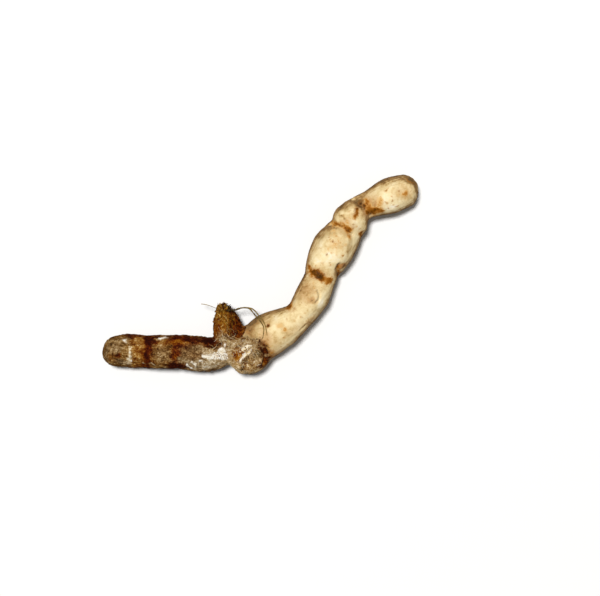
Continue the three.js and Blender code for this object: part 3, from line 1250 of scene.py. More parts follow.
    # Washes of the skin's own tan, grey and rust. The lighter ones are partly pale bloom and partly painted
    # highlight on the beads, and the dark ones noted below are painted shade.
    washes: tuple[Wash, ...] = (
        Wash(9.6, -17.2, 12.0, 7.0, 36, -0.16), Wash(20.6, -2.6, 7.0, 7.0, 0, -0.16),
        Wash(25.8, 9.4, 7.5, 7.0, 60, -0.12), Wash(32.4, 19.4, 5.0, 6.0, -40, -0.3, 0.1),
        Wash(46.4, 27.8, 10.0, 6.5, 20, 0.14), Wash(16.0, -6.2, 4.4, 4.0, 0, -0.4, 0.55, 0, 0.9),
        Wash(20.2, 6.4, 3.2, 2.4, 60, 0.35), Wash(28.4, 6.6, 2.0, 2.4, 10, 0.5),
        Wash(24.6, 6.6, 4.2, 2.6, 60, 0.45), Wash(26.3, 10.2, 3.4, 2.2, 20, 0.1, 0.25, 0, 0.8),
        Wash(21.6, -9.4, 3.0, 1.6, 60, 0.6, 0, 0, 0.8), Wash(7.4, -15.4, 4.0, 1.8, 35, 0.35),
        Wash(0.6, -18.6, 5.0, 3.0, 50, -0.3, 0.35, 0, 0.8), Wash(-2.6, -18.8, 5.0, 2.8, 40, -0.8, 0.45, 0.5),
        Wash(-2.8, -16.9, 5.0, 1.2, 36, -1.2, 0.2, 0.7), Wash(-4.6, -20.4, 3.4, 1.6, 28, -1.0, 0.9),
        Wash(-3.0, -21.5, 3.4, 1.0, 4, -1.0, 0.5, 0.4, 0.9), Wash(0, -18.0, 2.0, 1.2, 40, 0.2, 0, 0, 0.8),
        Wash(4.0, -25.6, 6.0, 3.6, -48, 0, 0.4, 0, 0.9), Wash(2.2, -27.2, 5.0, 2.0, -55, -1.3, 1.0),
        Wash(2.0, -21.8, 3.0, 2.0, -55, -0.5, 0.7, 0, 0.9),
        Wash(12.6, -19.4, 4.0, 1.8, 30, -0.5, 0.3, 0, 0.7), Wash(18.0, -9.2, 1.8, 1.3, 0, -0.6, 0.7),
        Wash(22.4, 14.0, 3.4, 1.6, 50, -0.6, 0.1, 0.6, 0.9),
        Wash(25.0, 14.2, 2.2, 1.4, 20, -0.35, 0, 0.35, 0.8),
        Wash(26.0, 17.0, 3.4, 1.6, -20, -0.7, 0.5, 0.4, 0.9), Wash(33.0, 17.2, 2.4, 1.8, -50, 0.5),
        Wash(29.6, 22.0, 2.4, 1.8, 50, 0.6), Wash(34.7, 24.9, 2.4, 1.5, -30, -1.7, 0, 1.0),
        Wash(38.8, 23.2, 4.6, 4.2, -40, -0.8, 0.9), Wash(20.0, 0.2, 4.4, 2.4, -22, -0.5, 0.8, 0, 0.9),
        Wash(30.4, 16.4, 3.2, 2.6, -50, -0.4, 0.7, 0, 0.9),
        # Painted shade in the dark crevice near (27.2, 1.2).
        Wash(27.2, 1.2, 1.6, 3.0, 10, -1.0, 0.6, 0.3, 0.9),
        Wash(28.6, 23.4, 4.0, 1.3, 45, -0.6, 0, 0.5, 0.8),
        Wash(43.0, 33.0, 8.0, 1.5, 24, -0.3, 0.2, 0.4, 0.9), Wash(44.2, 30.4, 3.4, 1.4, 26, 0.35, 0, 0, 0.8),
        Wash(52.2, 31.7, 2.2, 1.2, -38, -0.9, 0.2, 0.4, 0.85),
        # Painted shade on the underside of a bead near (28.5, 2.6), a painted shadow along the lower right
        # edge near (17.5, -15.9), and painted shade in the crease near (25.8, 17.6).
        Wash(28.5, 2.6, 2.2, 1.2, 24, -1.9, 0.9, 0, 0.95),
        Wash(17.5, -15.9, 3.0, 1.2, 45, -0.85, 0.5, 0, 0.85),
        Wash(25.8, 17.6, 2.4, 1.2, -30, -1.3, 0.6, 0.3, 0.9),
        Wash(50.2, 32.4, 1.4, 0.8, -20, -0.7, 0.2, 0.4, 0.9),
        Wash(11.1, -12.4, 1.5, 1.0, 20, -0.1, 0.7, 0, 0.9),
        Wash(29.4, 22.4, 1.7, 1.0, 45, -0.4, 0, 0.3, 0.8),
        Wash(2.1, -24.4, 1.8, 1.2, -50, -0.9, 1.0, 0, 0.9),
        Wash(29.0, 14.5, 2.5, 1.6, -30, -0.5, 0.4, 0.2, 0.8),
        Wash(27.8, 20.1, 1.2, 0.4, 10, -1.0, 0, 0.6, 0.8),
        Wash(29.1, 19.3, 1.4, 0.4, -50, -0.9, 0.3, 0.4, 0.8),
        Wash(31.2, 10.0, 1.2, 4.0, -14, -0.5, 0.2, 0.4, 0.8),
        # Painted shade in the crease near (32.8, 24.0), at the top end of a bead.
        Wash(32.8, 24.0, 3.0, 1.0, 12, -0.9, 0.2, 0.3, 0.9),
        Wash(12.4, -15.8, 3.6, 3.0, 30, -0.6, 0.7, 0, 0.8, UNDER),
        Wash(20.4, -0.8, 4.4, 3.0, -20, -0.6, 0.7, 0, 0.8, UNDER),
        Wash(30.0, 17.2, 4.4, 3.0, -30, -0.5, 0.6, 0, 0.8, UNDER),
        Wash(36.6, 23.2, 4.0, 3.4, -50, -0.8, 0.8, 0, 0.9, UNDER),
        Wash(25.6, 9.4, 3.6, 2.4, 60, -0.3, 0, 0.4, 0.8, UNDER),
        Wash(47.0, 27.6, 4.6, 2.6, 20, -0.3, 0.3, 0, 0.8, UNDER),
        Wash(2.6, -24.0, 4.6, 4.0, -30, -1.1, 0.9, 0, 1.0, UNDER),
        Wash(51.2, 33.6, 3.0, 1.8, -20, -0.6, 0, 0.6, 0.8),
        Wash(54.0, 31.0, 3.4, 1.6, -60, -1.1, 0.2, 0.5, 0.9),
        Wash(50.0, 28.2, 3.8, 3.2, 0, -0.3, 0.4, 0, 0.8),
        Wash(53.4, 32.6, 2.8, 1.4, -42, -1.2, 0.2, 0.6, 0.9), Wash(44.0, 26.8, 2.6, 1.6, 20, 0.5),
        Wash(46.2, 24.0, 5.0, 1.6, 20, 0.4, 0, 0, 0.8),
    )
    freckles: tuple[tuple[Place, Place, int, float], ...] = (
        ((26.2, 10.0), (1.6, 1.0), 40, 0.1), ((25.6, 12.4), (2.0, 1.4), 10, 0.25),
        ((22.5, 6.0), (3.0, 4.0), 6, 0.5), ((30.0, 21.0), (2.0, 1.5), 8, 0.35),
        ((49.8, 28.0), (2.6, 1.8), 16, 0.25), ((46.0, 26.0), (4.0, 2.5), 10, 0.4),
        ((9.5, -17.5), (5.0, 3.0), 14, 0.35), ((17.5, -7.5), (2.6, 3.0), 12, 0.2),
        ((33.8, 16.0), (1.2, 2.0), 6, 0.3),
    )
    freckle_seed: int = 4
    freckle_size: Span = (0.12, 0.36)
    freckle_roundness: Span = (0.5, 1.0)
    freckle_depth: Span = (-0.15, 0.2)
    # Painted shade: the flank tint darkens and browns the limb's steep sides, partly the real brown of its
    # flanks and partly light falling off towards its edges.
    flank: Triple = (-1.15, 0.7, 0.2)
    flank_shade_slope: Span = (0.72, 0.2)
    flank_shade_cover: float = 0.8
    flank_shade_lumps: Pattern = Pattern(0.4, 4.0)
    # Painted shade on the flanks that face -X and +Y, towards the key light.
    painted_shade_side: Triple = (-0.35, 0.92, -0.2)
    painted_shades: tuple[tuple[float, Span, Triple], ...] = (
        (0.4, (-0.05, 0.6), (-0.8, 0.4, 0.3)),
        (0.7, (0.35, 0.85), (-1.5, 0.5, 0.45)),
    )

    def shape(self, skin: Skin, grain: Array, spine: Spine) -> Array:
        """The limb's relief, from the swelling of its beads to its finest wrinkles.

        Args:
            skin: The skin.
            grain: Places in the straightened limb.
            spine: The limb's centre line.

        Returns:
            How far each point moves outwards.
        """
        along = grain[:, 0]
        here = smooth_step(along, *moved(self.start_edge, spine.reach(self.start)))
        relief = skin.relief(self.lumps)
        relief += skin.relief(self.wrinkles, points=grain)
        for place, width, depth in self.waists:
            offset = along - spine.reach(place) + skin.relief(self.waist_sway)
            waist = np.exp(-((offset / (self.waist_spread * width)) ** 2))
            relief += waist * (skin.relief(self.waist_ribs, points=grain) - self.waist_share * depth)
        tip = smooth_step(along, *(spine.reach(place) for place in self.tip))
        relief += skin.relief(self.tip_lines, tip, grain)
        carve(relief, skin, self.creases + self.pits)
        return relief * here

    def mark(self, skin: Skin, paint: Paint) -> None:
        """Paints the limb's tan and grey skin and its stains, with painted shade on its flanks and painted
        shade and highlights among its washes.

        Args:
            skin: The skin.
            paint: The channels to paint.
        """
        paint.wash(self.washes)
        # Painted shade on the steep flanks, with some of their real brown in it.
        flank = smooth_step(np.abs(skin.normals[:, 2]), *self.flank_shade_slope)
        flank *= np.clip(self.flank_shade_cover + skin.relief(self.flank_shade_lumps), 0.0, 1.0)
        paint.tint(flank, *self.flank)
        # Painted shade on the flanks turned towards -X and +Y.
        away = skin.normals @ self.painted_shade_side
        for strength, span, tint in self.painted_shades:
            paint.tint(strength * smooth_step(away, *span), *tint)
        draw = np.random.default_rng(self.freckle_seed)
        for middle, spread, count, depth in self.freckles:
            for _ in range(count):
                x, y = middle + draw.normal(size=2) * spread
                long = draw.uniform(*self.freckle_size)
                wide = long * draw.uniform(*self.freckle_roundness)
                freckle = Spot(x, y, long, wide, draw.uniform(0.0, 180.0))
                paint.stain(freckle.margin(skin), depth + draw.uniform(*self.freckle_depth))
        for stain in self.stains:
            paint.stain(stain.margin(skin), stain.depth)


@dataclass
class DarkLimb:
    """The dark limb, still in its bark: rust and near-black bands, grey bloom and a pale crack.

    A band has its place along the limb, its width, how light it is and how rusty.
    """

    neck: float = -11.2
    relief_edge: Span = (2.0, -2.0)
    paint_edge: Span = (1.0, -1.0)
    axis: float = -27.5
    slant: float = 0.14
    swells: Pattern = Pattern(0.3, 5.5)
    lumps: Pattern = Pattern(0.12, 1.5, gain=0.6, shift=4.0)
    wrinkles: Pattern = Pattern(0.16, pitch=(0.2, 0.62, 0.62), shift=2.0, folded=True)
    crumple: Pattern = Pattern(0.16, 1.9, folded=True, stir=STIR)
    crumpled: Span = (-29.0, -22.0)
    tint: Triple = (0.0, 0.2, 0.1)
    band_sway: Pattern = Pattern(0.8, 3.0, shift=40.0)
    band_edge: Span = (1.0, -0.9)
    creases: tuple[Streak, ...] = (
        Streak(((-45.4, -24.8), (-45.6, -28.0), (-45.2, -31.6)), 0.6, -0.18),
        Streak(((-44.4, -24.6), (-44.5, -28.0), (-44.2, -31.8)), 0.35, 0.3),
        Streak(((-37.8, -21.8), (-38.4, -25.2), (-38.0, -31.6)), 0.9, 0.3),
        Streak(((-29.6, -23.5), (-30.4, -29.0), (-29.0, -33.2)), 0.8, 0.25),
        Streak(((-51.0, -29.5), (-48.4, -31.8), (-46.4, -32.8)), 0.4, 0.3),
        Streak(((-52.0, -28.4), (-49.6, -30.2), (-47.6, -30.8)), 0.3, 0.2),
    )
    bands: tuple[tuple[float, float, float, float], ...] = (
        (-50.5, 9.0, 0.05, 0.0),
        (-41.8, 6.4, 0.08, 0.7),
        (-39.2, 2.4, -0.75, 1.0),
        (-34.0, 5.0, -0.02, 0.15),
        (-29.0, 3.4, -0.5, 1.0),
    )
    washes: tuple[Wash, ...] = (
        Wash(-42.0, -21.8, 7.0, 1.5, 2, -0.5, 0.85), Wash(-37.2, -22.0, 4.0, 1.7, -15, -0.85, 0.9),
        Wash(-39.2, -30.8, 2.2, 1.4, 10, -0.35, 1.0), Wash(-42.6, -29.6, 3.0, 1.6, 0, 0.1, 0.5),
        Wash(-34.0, -22.4, 3.0, 0.8, 8, 0.6, 0.1, 0.5), Wash(-34.2, -24.2, 2.6, 1.1, 0, 0, 0.6),
        Wash(-24.0, -22.4, 8.6, 2.2, -4, -0.75, 1.0), Wash(-28.6, -23.6, 4.2, 1.1, -3, 0.1, 1.0),
        Wash(-26.2, -25.0, 2.8, 0.9, -8, -0.8, 1.0, 0, 0.95), Wash(-20.6, -30.0, 9.4, 4.4, -2, 0.36, 0, 0.9),
        Wash(-23.2, -28.0, 4.8, 2.2, -4, -0.35, 0.3, 0.3, 0.95),
        Wash(-20.0, -31.8, 3.6, 1.2, -4, 0.25, 0, 0.8), Wash(-15.2, -30.5, 3.0, 1.0, 5, 0.55, 0, 0.9, 0.85),
        Wash(-16.2, -32.2, 2.4, 0.9, 8, 0.8, 0, 0.7, 0.9), Wash(-14.0, -25.2, 1.2, 0.9, 0, 0.2, 0, 0.5, 0.9),
        Wash(-34.0, -28.0, 2.4, 3.2, 0, 0, 0.1, 0.35, 0.9),
        Wash(-42.8, -24.4, 2.4, 1.6, 0, 0.05, 0.5, 0, 0.9), Wash(-17.0, -23.2, 4.6, 2.4, -24, -1.15, 0.9),
        Wash(-17.9, -25.0, 2.6, 1.0, -8, -1.0, 0.8, 0, 0.95), Wash(-15.4, -28.3, 4.4, 1.2, 12, 0.6, 0, 1.0),
        Wash(-28.4, -32.2, 3.8, 1.7, 0, -0.9, 1.0), Wash(-29.0, -28.2, 1.8, 2.6, 0, -0.45, 1.0),
        Wash(-28.0, -29.5, 0.9, 0.6, 0, 0, 0, 0.8), Wash(-51.8, -29.2, 3.4, 1.4, -35, 0.05, 0.3),
        Wash(-49.6, -28.2, 1.4, 0.8, -25, -0.45, 0.9), Wash(-47.8, -30.6, 2.8, 1.3, -20, 0.1, 0.1, 0.6),
        Wash(-50.6, -24.6, 3.4, 2.2, 20, -0.14, 0, 0.3), Wash(-47.0, -23.0, 2.2, 1.1, -40, 0.3, 0.1, 0.3),
        Wash(-53.6, -27.4, 1.2, 2.6, -10, -0.2, 0, 0.5), Wash(-49.6, -26.4, 2.4, 1.2, 20, 0.12, 0, 0.5),
        Wash(-44.9, -28.4, 3.8, 0.85, 90, 1.0, 0, 0.35, 0.9), Wash(-46.3, -22.5, 1.3, 1.1, 0, 0.2, 0, 0.3),
        Wash(-36.6, -23.6, 1.3, 0.9, 0, -0.7, 0.9, 0, 0.9),
        Wash(-37.4, -31.3, 1.3, 0.45, -15, 0.9, 0, 0.6, 0.85),
        Wash(-40.6, -31.0, 0.8, 0.4, -30, 0.8, 0, 0.5, 0.8),
        Wash(-33.2, -32.4, 0.9, 0.5, 20, 0.9, 0, 0.5, 0.85),
    )
    pales: Marks = (
        Spot(-45.0, -30.2, 0.6, 0.3, 80), Spot(-47.1, -22.9, 0.7, 0.4, -40),
        Streak(((-35.2, -22.4), (-32.6, -22.0)), 0.34),
        Streak(((-19.4, -28.5), (-16.9, -28.6), (-13.4, -28.3)), 0.75),
        Streak(((-15.6, -28.4), (-13.4, -28.3), (-12.1, -28.6)), 1.4),
        Streak(((-14.0, -27.0), (-12.8, -26.2)), 0.9), Streak(((-25.8, -31.4), (-24.2, -32.6)), 0.4),
        Streak(((-23.6, -30.9), (-22.6, -32.0)), 0.36),
        Streak(((-22.4, -31.0), (-20.6, -30.2), (-19.6, -31.2)), 0.25), Spot(-12.2, -24.1, 0.55, 0.4, 60),
    )

    def shape(self, skin: Skin, grain: Array) -> Array:
        """The bark's relief: long wrinkles, coarse grain, ring cracks and bands.

        Args:
            skin: The skin.
            grain: Places in the straightened limb.

        Returns:
            How far each point moves outwards.
        """
        x = skin.points[:, 0]
        relief = skin.relief(self.swells)
        relief += skin.relief(self.lumps)
        relief += skin.relief(self.wrinkles, points=grain)
        relief += skin.relief(self.crumple, smooth_step(x, *self.crumpled))
        carve(relief, skin, self.creases)
        return relief * smooth_step(x, *moved(self.relief_edge, self.neck))

    def mark(self, skin: Skin, paint: Paint) -> None:
        """Paints the bark and everything on it.

        Args:
            skin: The skin.
            paint: The channels to paint.
        """
        x = skin.swayed[:, 0] + skin.relief(self.band_sway)
        slant = self.slant * (skin.swayed[:, 1] - self.axis)
        paint.cover(Channel.BARK, self.neck - skin.points[:, 0])
        paint.tint(smooth_step(x, *moved(self.paint_edge, self.neck)), *self.tint)
        for middle, width, tone, warm in self.bands:
            edge = moved(self.band_edge, 0.5 * width)
            paint.tint(smooth_step(np.abs(x - slant - middle), *edge), tone, warm, 0.0)
        paint.wash(self.washes)
        paint.chalk(self.pales)


@dataclass
class Crown:
    """The knob where the limbs meet: a grey crumbling crust with a broken scar, and a smoother lobe."""

    middle: Place = (-6.0, -28.6)
    reach: float = 7.0
    relief_edge: Span = (3.5, -1.5)
    paint_edge: Span = (0.8, -1.5)
    lobe_slope: float = 0.6
    lobe_edge: Span = (13.0, 16.0)
    swells: Pattern = Pattern(0.55, 4.2, shift=7.0)
    lumps: Pattern = Pattern(0.16, 1.5, gain=0.6, shift=2.0)
    crumple: Pattern = Pattern(0.18, 1.7, shift=6.0, folded=True, stir=STIR)
    tint: Triple = (0.3, 0.15, 0.45)
    flank_share: float = 0.8
    flanks: tuple[Spot, ...] = (
        Spot(1.5, -26.6, 3.6, 1.5, -60), Spot(1.6, -30.4, 3.2, 2.2, 40),
        Spot(-5.5, -28.6, 5.4, 4.6, side=UNDER), Spot(-0.4, -27.0, 3.0, 1.8, 60, side=UNDER),
        Spot(1.6, -22.4, 1.8, 0.9, 35, side=UNDER),
    )
    creases: tuple[Streak, ...] = (
        Streak(((-1.2, -22.6), (0.2, -24.2), (1.4, -26.0), (2.0, -28.4), (1.4, -31.0)), 0.9, 0.8),
        Streak(((-11.8, -23.2), (-11.2, -27.0), (-11.4, -31.8)), 1.0, 0.5),
        Streak(((-4.0, -28.4), (-5.2, -29.8), (-6.0, -30.9), (-6.4, -32.4), (-6.5, -33.9)), 0.42, 0.75),
        Streak(((-0.6, -27.0), (0.2, -29.6), (-0.4, -32.0)), 0.6, 0.14),
        Streak(((-5.0, -30.6), (-4.6, -32.4), (-5.2, -34.4)), 0.42, 0.16),
        Streak(((-3.8, -30.2), (-3.0, -32.0), (-3.4, -34.4)), 0.42, -0.2),
        Streak(((-2.8, -29.6), (-1.8, -31.4), (-1.8, -33.8)), 0.42, 0.18),
        Streak(((-1.8, -29.0), (-0.6, -30.8), (-0.2, -32.6)), 0.42, -0.22),
        Streak(((-9.4, -22.9), (-6.4, -22.4), (-3.4, -21.6)), 0.7, 0.5),
    )
    lobe: Spot = Spot(-2.8, -33.2, 3.8, 2.6, -25)
    scar: Spot = Spot(-7.2, -28.2, 2.6, 1.7, 40, 1.1)
    washes: tuple[Wash, ...] = (
        Wash(-5.4, -21.4, 3.2, 1.4, -15, -0.1, 0.4, 0.4), Wash(2.2, -30.4, 3.0, 2.2, 40, -0.22, 0.95),
        Wash(-3.2, -32.0, 4.4, 3.0, -25, 0.4, 0.3), Wash(-9.7, -24.0, 1.7, 0.9, 40, 0.5, 0, 0.7, 0.8),
        Wash(-7.3, -25.0, 1.8, 0.7, 30, -0.7, 0.4, 0.2, 0.9), Wash(0.2, -31.2, 1.3, 2.8, -50, -0.25, 0.7),
        Wash(-4.2, -32.2, 2.4, 0.35, 78, 0.7, 0.2, 0.3, 0.8),
        Wash(-2.9, -31.8, 2.6, 0.3, 66, 0.75, 0.2, 0.3, 0.8),
        Wash(-1.4, -31.6, 2.2, 0.28, 54, 0.6, 0.3, 0.2, 0.8),
        Wash(-5.4, -33.2, 1.4, 0.3, 88, 0.6, 0.2, 0.3, 0.7), Wash(-9.8, -31.4, 2.6, 2.6, 0, 0.6, 0.1, 0.7),
        Wash(-7.8, -30.4, 2.6, 2.2, 60, 0.55, 0.7), Wash(-7.7, -28.1, 2.9, 2.3, 30, 0.14, 1.0),
        Wash(-7.7, -27.6, 1.6, 0.8, 30, -0.12, 0.85), Wash(-4.4, -29.4, 1.5, 0.6, 40, -0.75, 0.2, 0.4),
        Wash(-6.3, -32.2, 2.4, 0.45, 82, -0.8, 0.6, 0.1), Wash(-1.0, -27.6, 1.3, 2.6, -30, -0.35, 0, 0.5),
        Wash(-5.0, -30.8, 2.2, 0.75, 64, -0.75, 0.6, 0.1, 0.9),
        Wash(-2.9, -26.6, 1.3, 1.0, 0, -0.4, 0.2, 0.3, 0.9),
        # Painted highlight on the lobe.
        Wash(-2.9, -32.1, 1.3, 0.9, -25, 0.75, 0.3, 0.1, 0.9),
        Wash(-7.2, -22.4, 1.3, 0.7, 10, 0.45, 0, 0.5, 0.9),
        Wash(-0.1, -32.2, 1.4, 0.9, -40, -0.9, 0.9, 0, 0.9), Wash(0.9, -25.2, 3.2, 1.3, -62, -0.6, 0.85),
        Wash(2.8, -28.8, 2.2, 1.3, -62, -0.62, 0.75),
    )
    pales: Marks = (
        Streak(((-6.2, -26.0), (-4.6, -25.2), (-3.6, -24.6)), 0.5),
        Streak(((-5.6, -28.2), (-4.2, -27.4), (-3.2, -26.4)), 0.45), Spot(-6.6, -29.8, 0.8, 0.5, 50),
        Streak(((-7.0, -23.2), (-5.0, -23.0)), 0.16),
    )

    def shape(self, skin: Skin) -> Array:
        """The knob's relief: lumps, crumbs, crevices and the broken scar.

        Args:
            skin: The skin.

        Returns:
            How far each point moves outwards.
        """
        gap = flat_gap(skin.points, self.middle)
        here = smooth_step(gap, *moved(self.relief_edge, self.reach))
        across = skin.points[:, 0] - self.lobe_slope * skin.points[:, 1]
        rough = here * (1.0 - smooth_step(across, *self.lobe_edge))
        relief = skin.relief(self.swells, here)
        relief += skin.relief(self.lumps, rough)
        relief += skin.relief(self.crumple, rough)
        carve(relief, skin, (*self.creases, self.scar))
        return relief

    def mark(self, skin: Skin, paint: Paint) -> None:
        """Paints the crust, its crevices and its broken flesh, and a painted highlight on the lobe.

        Args:
            skin: The skin.
            paint: The channels to paint.
        """
        gap = flat_gap(skin.swayed, self.middle)
        paint.cover(Channel.BARK, self.reach - gap)
        for flank in self.flanks:
            paint.cover(Channel.BARK, self.flank_share * flank.margin(skin))
        paint.tint(smooth_step(gap, *moved(self.paint_edge, self.reach)), *self.tint)
        paint.wash(self.washes)
        paint.chalk(self.pales)


@dataclass
class TornStub:
    """The stump of a third limb: woolly olive-brown fibre, torn off at the end."""

    route: tuple[Place, ...] = ((-8.4, -24.8), (-11.0, -20.2), (-12.1, -16.2), (-12.9, -12.6), (-13.3, -10.4))
    nearer: Span = (-0.5, 1.5)
    south_edge: Span = (-24.5, -22.0)
    east_edge: Span = (-3.5, -5.5)
    fibres: Pattern = Pattern(0.4, pitch=(0.16, 0.75, 0.75), layers=3, gain=0.6, shift=11.0, folded=True)
    lumps: Pattern = Pattern(0.2, 1.2, gain=0.6, shift=5.0)
    swells: Pattern = Pattern(0.4, 4.0, layers=1, shift=1.0)
    tear: Span = (10.5, 14.0)
    shreds: Pattern = Pattern(0.9, 1.6, gain=0.6, shift=8.0)
    torn_off: float = 0.5
    bark_width: float = 4.0
    tint: Triple = (-0.1, 0.7, 0.0)
    washes: tuple[Wash, ...] = (
        Wash(-8.4, -17.6, 4.4, 2.3, 112, -0.22, 1.0), Wash(-7.4, -17.6, 2.6, 1.2, 112, -0.34, 1.0),
        Wash(-8.0, -20.4, 1.8, 1.4, 0, -0.45, 1.0), Wash(-11.4, -11.2, 2.4, 1.3, -35, -1.2, 0.7),
        Wash(-13.2, -14.4, 4.0, 2.2, 80, 0.06, 1.0), Wash(-12.8, -22.4, 3.2, 2.2, 0, 0.1, 0.3, 0.6),
        Wash(-15.2, -20.0, 1.4, 3.0, 0, -0.1, 0.9), Wash(-10.6, -21.0, 1.7, 1.5, 0, -0.5, 1.0),
        Wash(-5.8, -20.9, 1.2, 0.8, 0, -0.5, 0.8), Wash(-11.3, -13.9, 1.4, 1.0, 30, 0.2, 0.9, 0, 0.9),
        Wash(-12.9, -18.2, 1.8, 2.6, 10, 0.14, 0.95),
    )

    def weight(self, skin: Skin, grain: Array, stub_grain: Array) -> Array:
        """How much of each point is stub.

        Args:
            skin: The skin.
            grain: Places in the straightened limbs.
            stub_grain: Places in the straightened stub.

        Returns:
            One share a point, from 0 to 1.
        """
        x, y, _ = skin.points.T
        lead = np.hypot(*grain[:, 1:].T) - np.hypot(*stub_grain[:, 1:].T)
        weight = smooth_step(lead, *self.nearer) * smooth_step(y, *self.south_edge)
        return weight * smooth_step(x, *self.east_edge)

    def shape(self, skin: Skin, grain: Array, weight: Array) -> Array:
        """The stub's fibres and its ragged end.

        Args:
            skin: The skin.
            grain: Places in the straightened stub.
            weight: How much of each point is stub.

        Returns:
            How far each point moves outwards.
        """
        relief = skin.relief(self.fibres, points=grain)
        relief += skin.relief(self.lumps)
        relief += skin.relief(self.swells)
        tear = smooth_step(grain[:, 0], *self.tear)
        relief += tear * (skin.relief(self.shreds) - self.torn_off)
        return relief * weight

    def mark(self, paint: Paint, weight: Array) -> None:
        """Paints the stub.

        Args:
            paint: The channels to paint.
            weight: How much of each point is stub.
        """
        paint.cover(Channel.BARK, self.bark_width * (weight - 0.5))
        paint.tint(weight, *self.tint)
        paint.wash(self.washes)


@dataclass(frozen=True)
class Dirt:
    """Dirt that settles in hollows: how much, how wide a hollow is felt, and how deep it has to be."""

    amount: float
    rounds: int
    depths: Span

    def settled(self, skin: Skin, less: float | Array = 0.0) -> Array:
        """How much dirt each point holds."""
        return (self.amount - less) * smooth_step(skin.hollow(self.rounds), *self.depths)


@dataclass
class KansuiRoot:
    """The whole root: its skin over the solid, dressed limb by limb."""

    fineness: float = 0.295
    rounding: int = 40
    seed: int = 11
    crown_yield: float = 0.6
    inset: float = 0.05
    wander: Pattern = Pattern(0.55, 2.4, layers=3, gain=0.6)
    fine_dirt: Dirt = Dirt(0.9, 6, (0.04, 0.2))
    broad_dirt: Dirt = Dirt(0.5, 60, (0.15, 0.6))
    crust_edge: Span = (8.0, 5.0)
    crust_less: float = 0.4
    route: tuple[Place, ...] = (
        (-55.0, -27.0), (-46.0, -26.8), (-36.2, -27.3), (-29.5, -27.1), (-20.4, -28.0), (-12.0, -27.6),
        (-5.0, -26.6), (0.4, -23.4), (5.6, -19.8), (11.4, -16.1), (14.5, -13.3), (16.5, -10.6), (19.6, -4.8),
        (20.9, -1.4), (21.7, 1.8), (23.1, 4.9), (25.9, 9.5), (28.4, 13.0), (30.4, 16.2), (32.0, 19.4),
        (33.8, 21.5), (37.5, 24.1), (41.8, 26.1), (46.1, 27.9), (55.0, 31.0),
    )
    beaded: BeadedLimb = field(default_factory=BeadedLimb)
    dark: DarkLimb = field(default_factory=DarkLimb)
    crown: Crown = field(default_factory=Crown)
    stub: TornStub = field(default_factory=TornStub)
    finish: RootSkinFinish = RootSkinFinish()

    def build(self) -> tuple[bpy.types.Object, Skin]:
        """Makes the root's skin.

        Returns:
            The piece, riding on its body and standing for the solid, and its skin as arrays.
        """
        skin = Skin(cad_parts[NODE], self.fineness, self.seed)
        skin.points = skin.blur(skin.points, self.rounding)
        skin.refresh()
        spine = Spine(self.route)
        spine.lay(skin)
        side = Spine(self.stub.route)
        side.lay(skin)
        grain = spine.locate(skin.points)
        stub_grain = side.locate(skin.points)
        weight = self.stub.weight(skin, grain, stub_grain)
        relief = self.beaded.shape(skin, grain, spine)
        relief += self.dark.shape(skin, grain) * (1.0 - weight)
        relief += self.crown.shape(skin) * (1.0 - self.crown_yield * weight)
        relief += self.stub.shape(skin, stub_grain, weight)
        skin.push(relief - self.inset)
        low, high = (np.array(corner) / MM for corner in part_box(NODE))
        skin.points = np.clip(skin.points, low, high)
        skin.refresh()
        skin.sway(self.wander)

        paint = Paint(skin)
        self.beaded.mark(skin, paint)
        self.dark.mark(skin, paint)
        self.crown.mark(skin, paint)
        self.stub.mark(paint, weight)
        crusted = smooth_step(flat_gap(skin.points, self.crown.middle), *self.crust_edge)
        paint.soil(self.fine_dirt.settled(skin, self.crust_less * crusted))
        paint.soil(self.broad_dirt.settled(skin))
        paint.write(skin.mesh, grain * (1.0 - weight)[:, None] + stub_grain * weight[:, None])
        return self._place(skin.mesh), skin

    def _place(self, mesh: bpy.types.Mesh) -> bpy.types.Object:
        """Puts the finished mesh in the scene as a piece."""
        mesh.name = "root_skin"
        mesh.polygons.foreach_set("use_smooth", np.ones(len(mesh.polygons), dtype=bool))
        mesh.materials.append(self.finish.material())
        piece = in_scene("kansui_root_skin", mesh)
        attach(piece, BODY)
        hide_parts(NODE)
        return piece


# Small loose parts that lie on the skin.


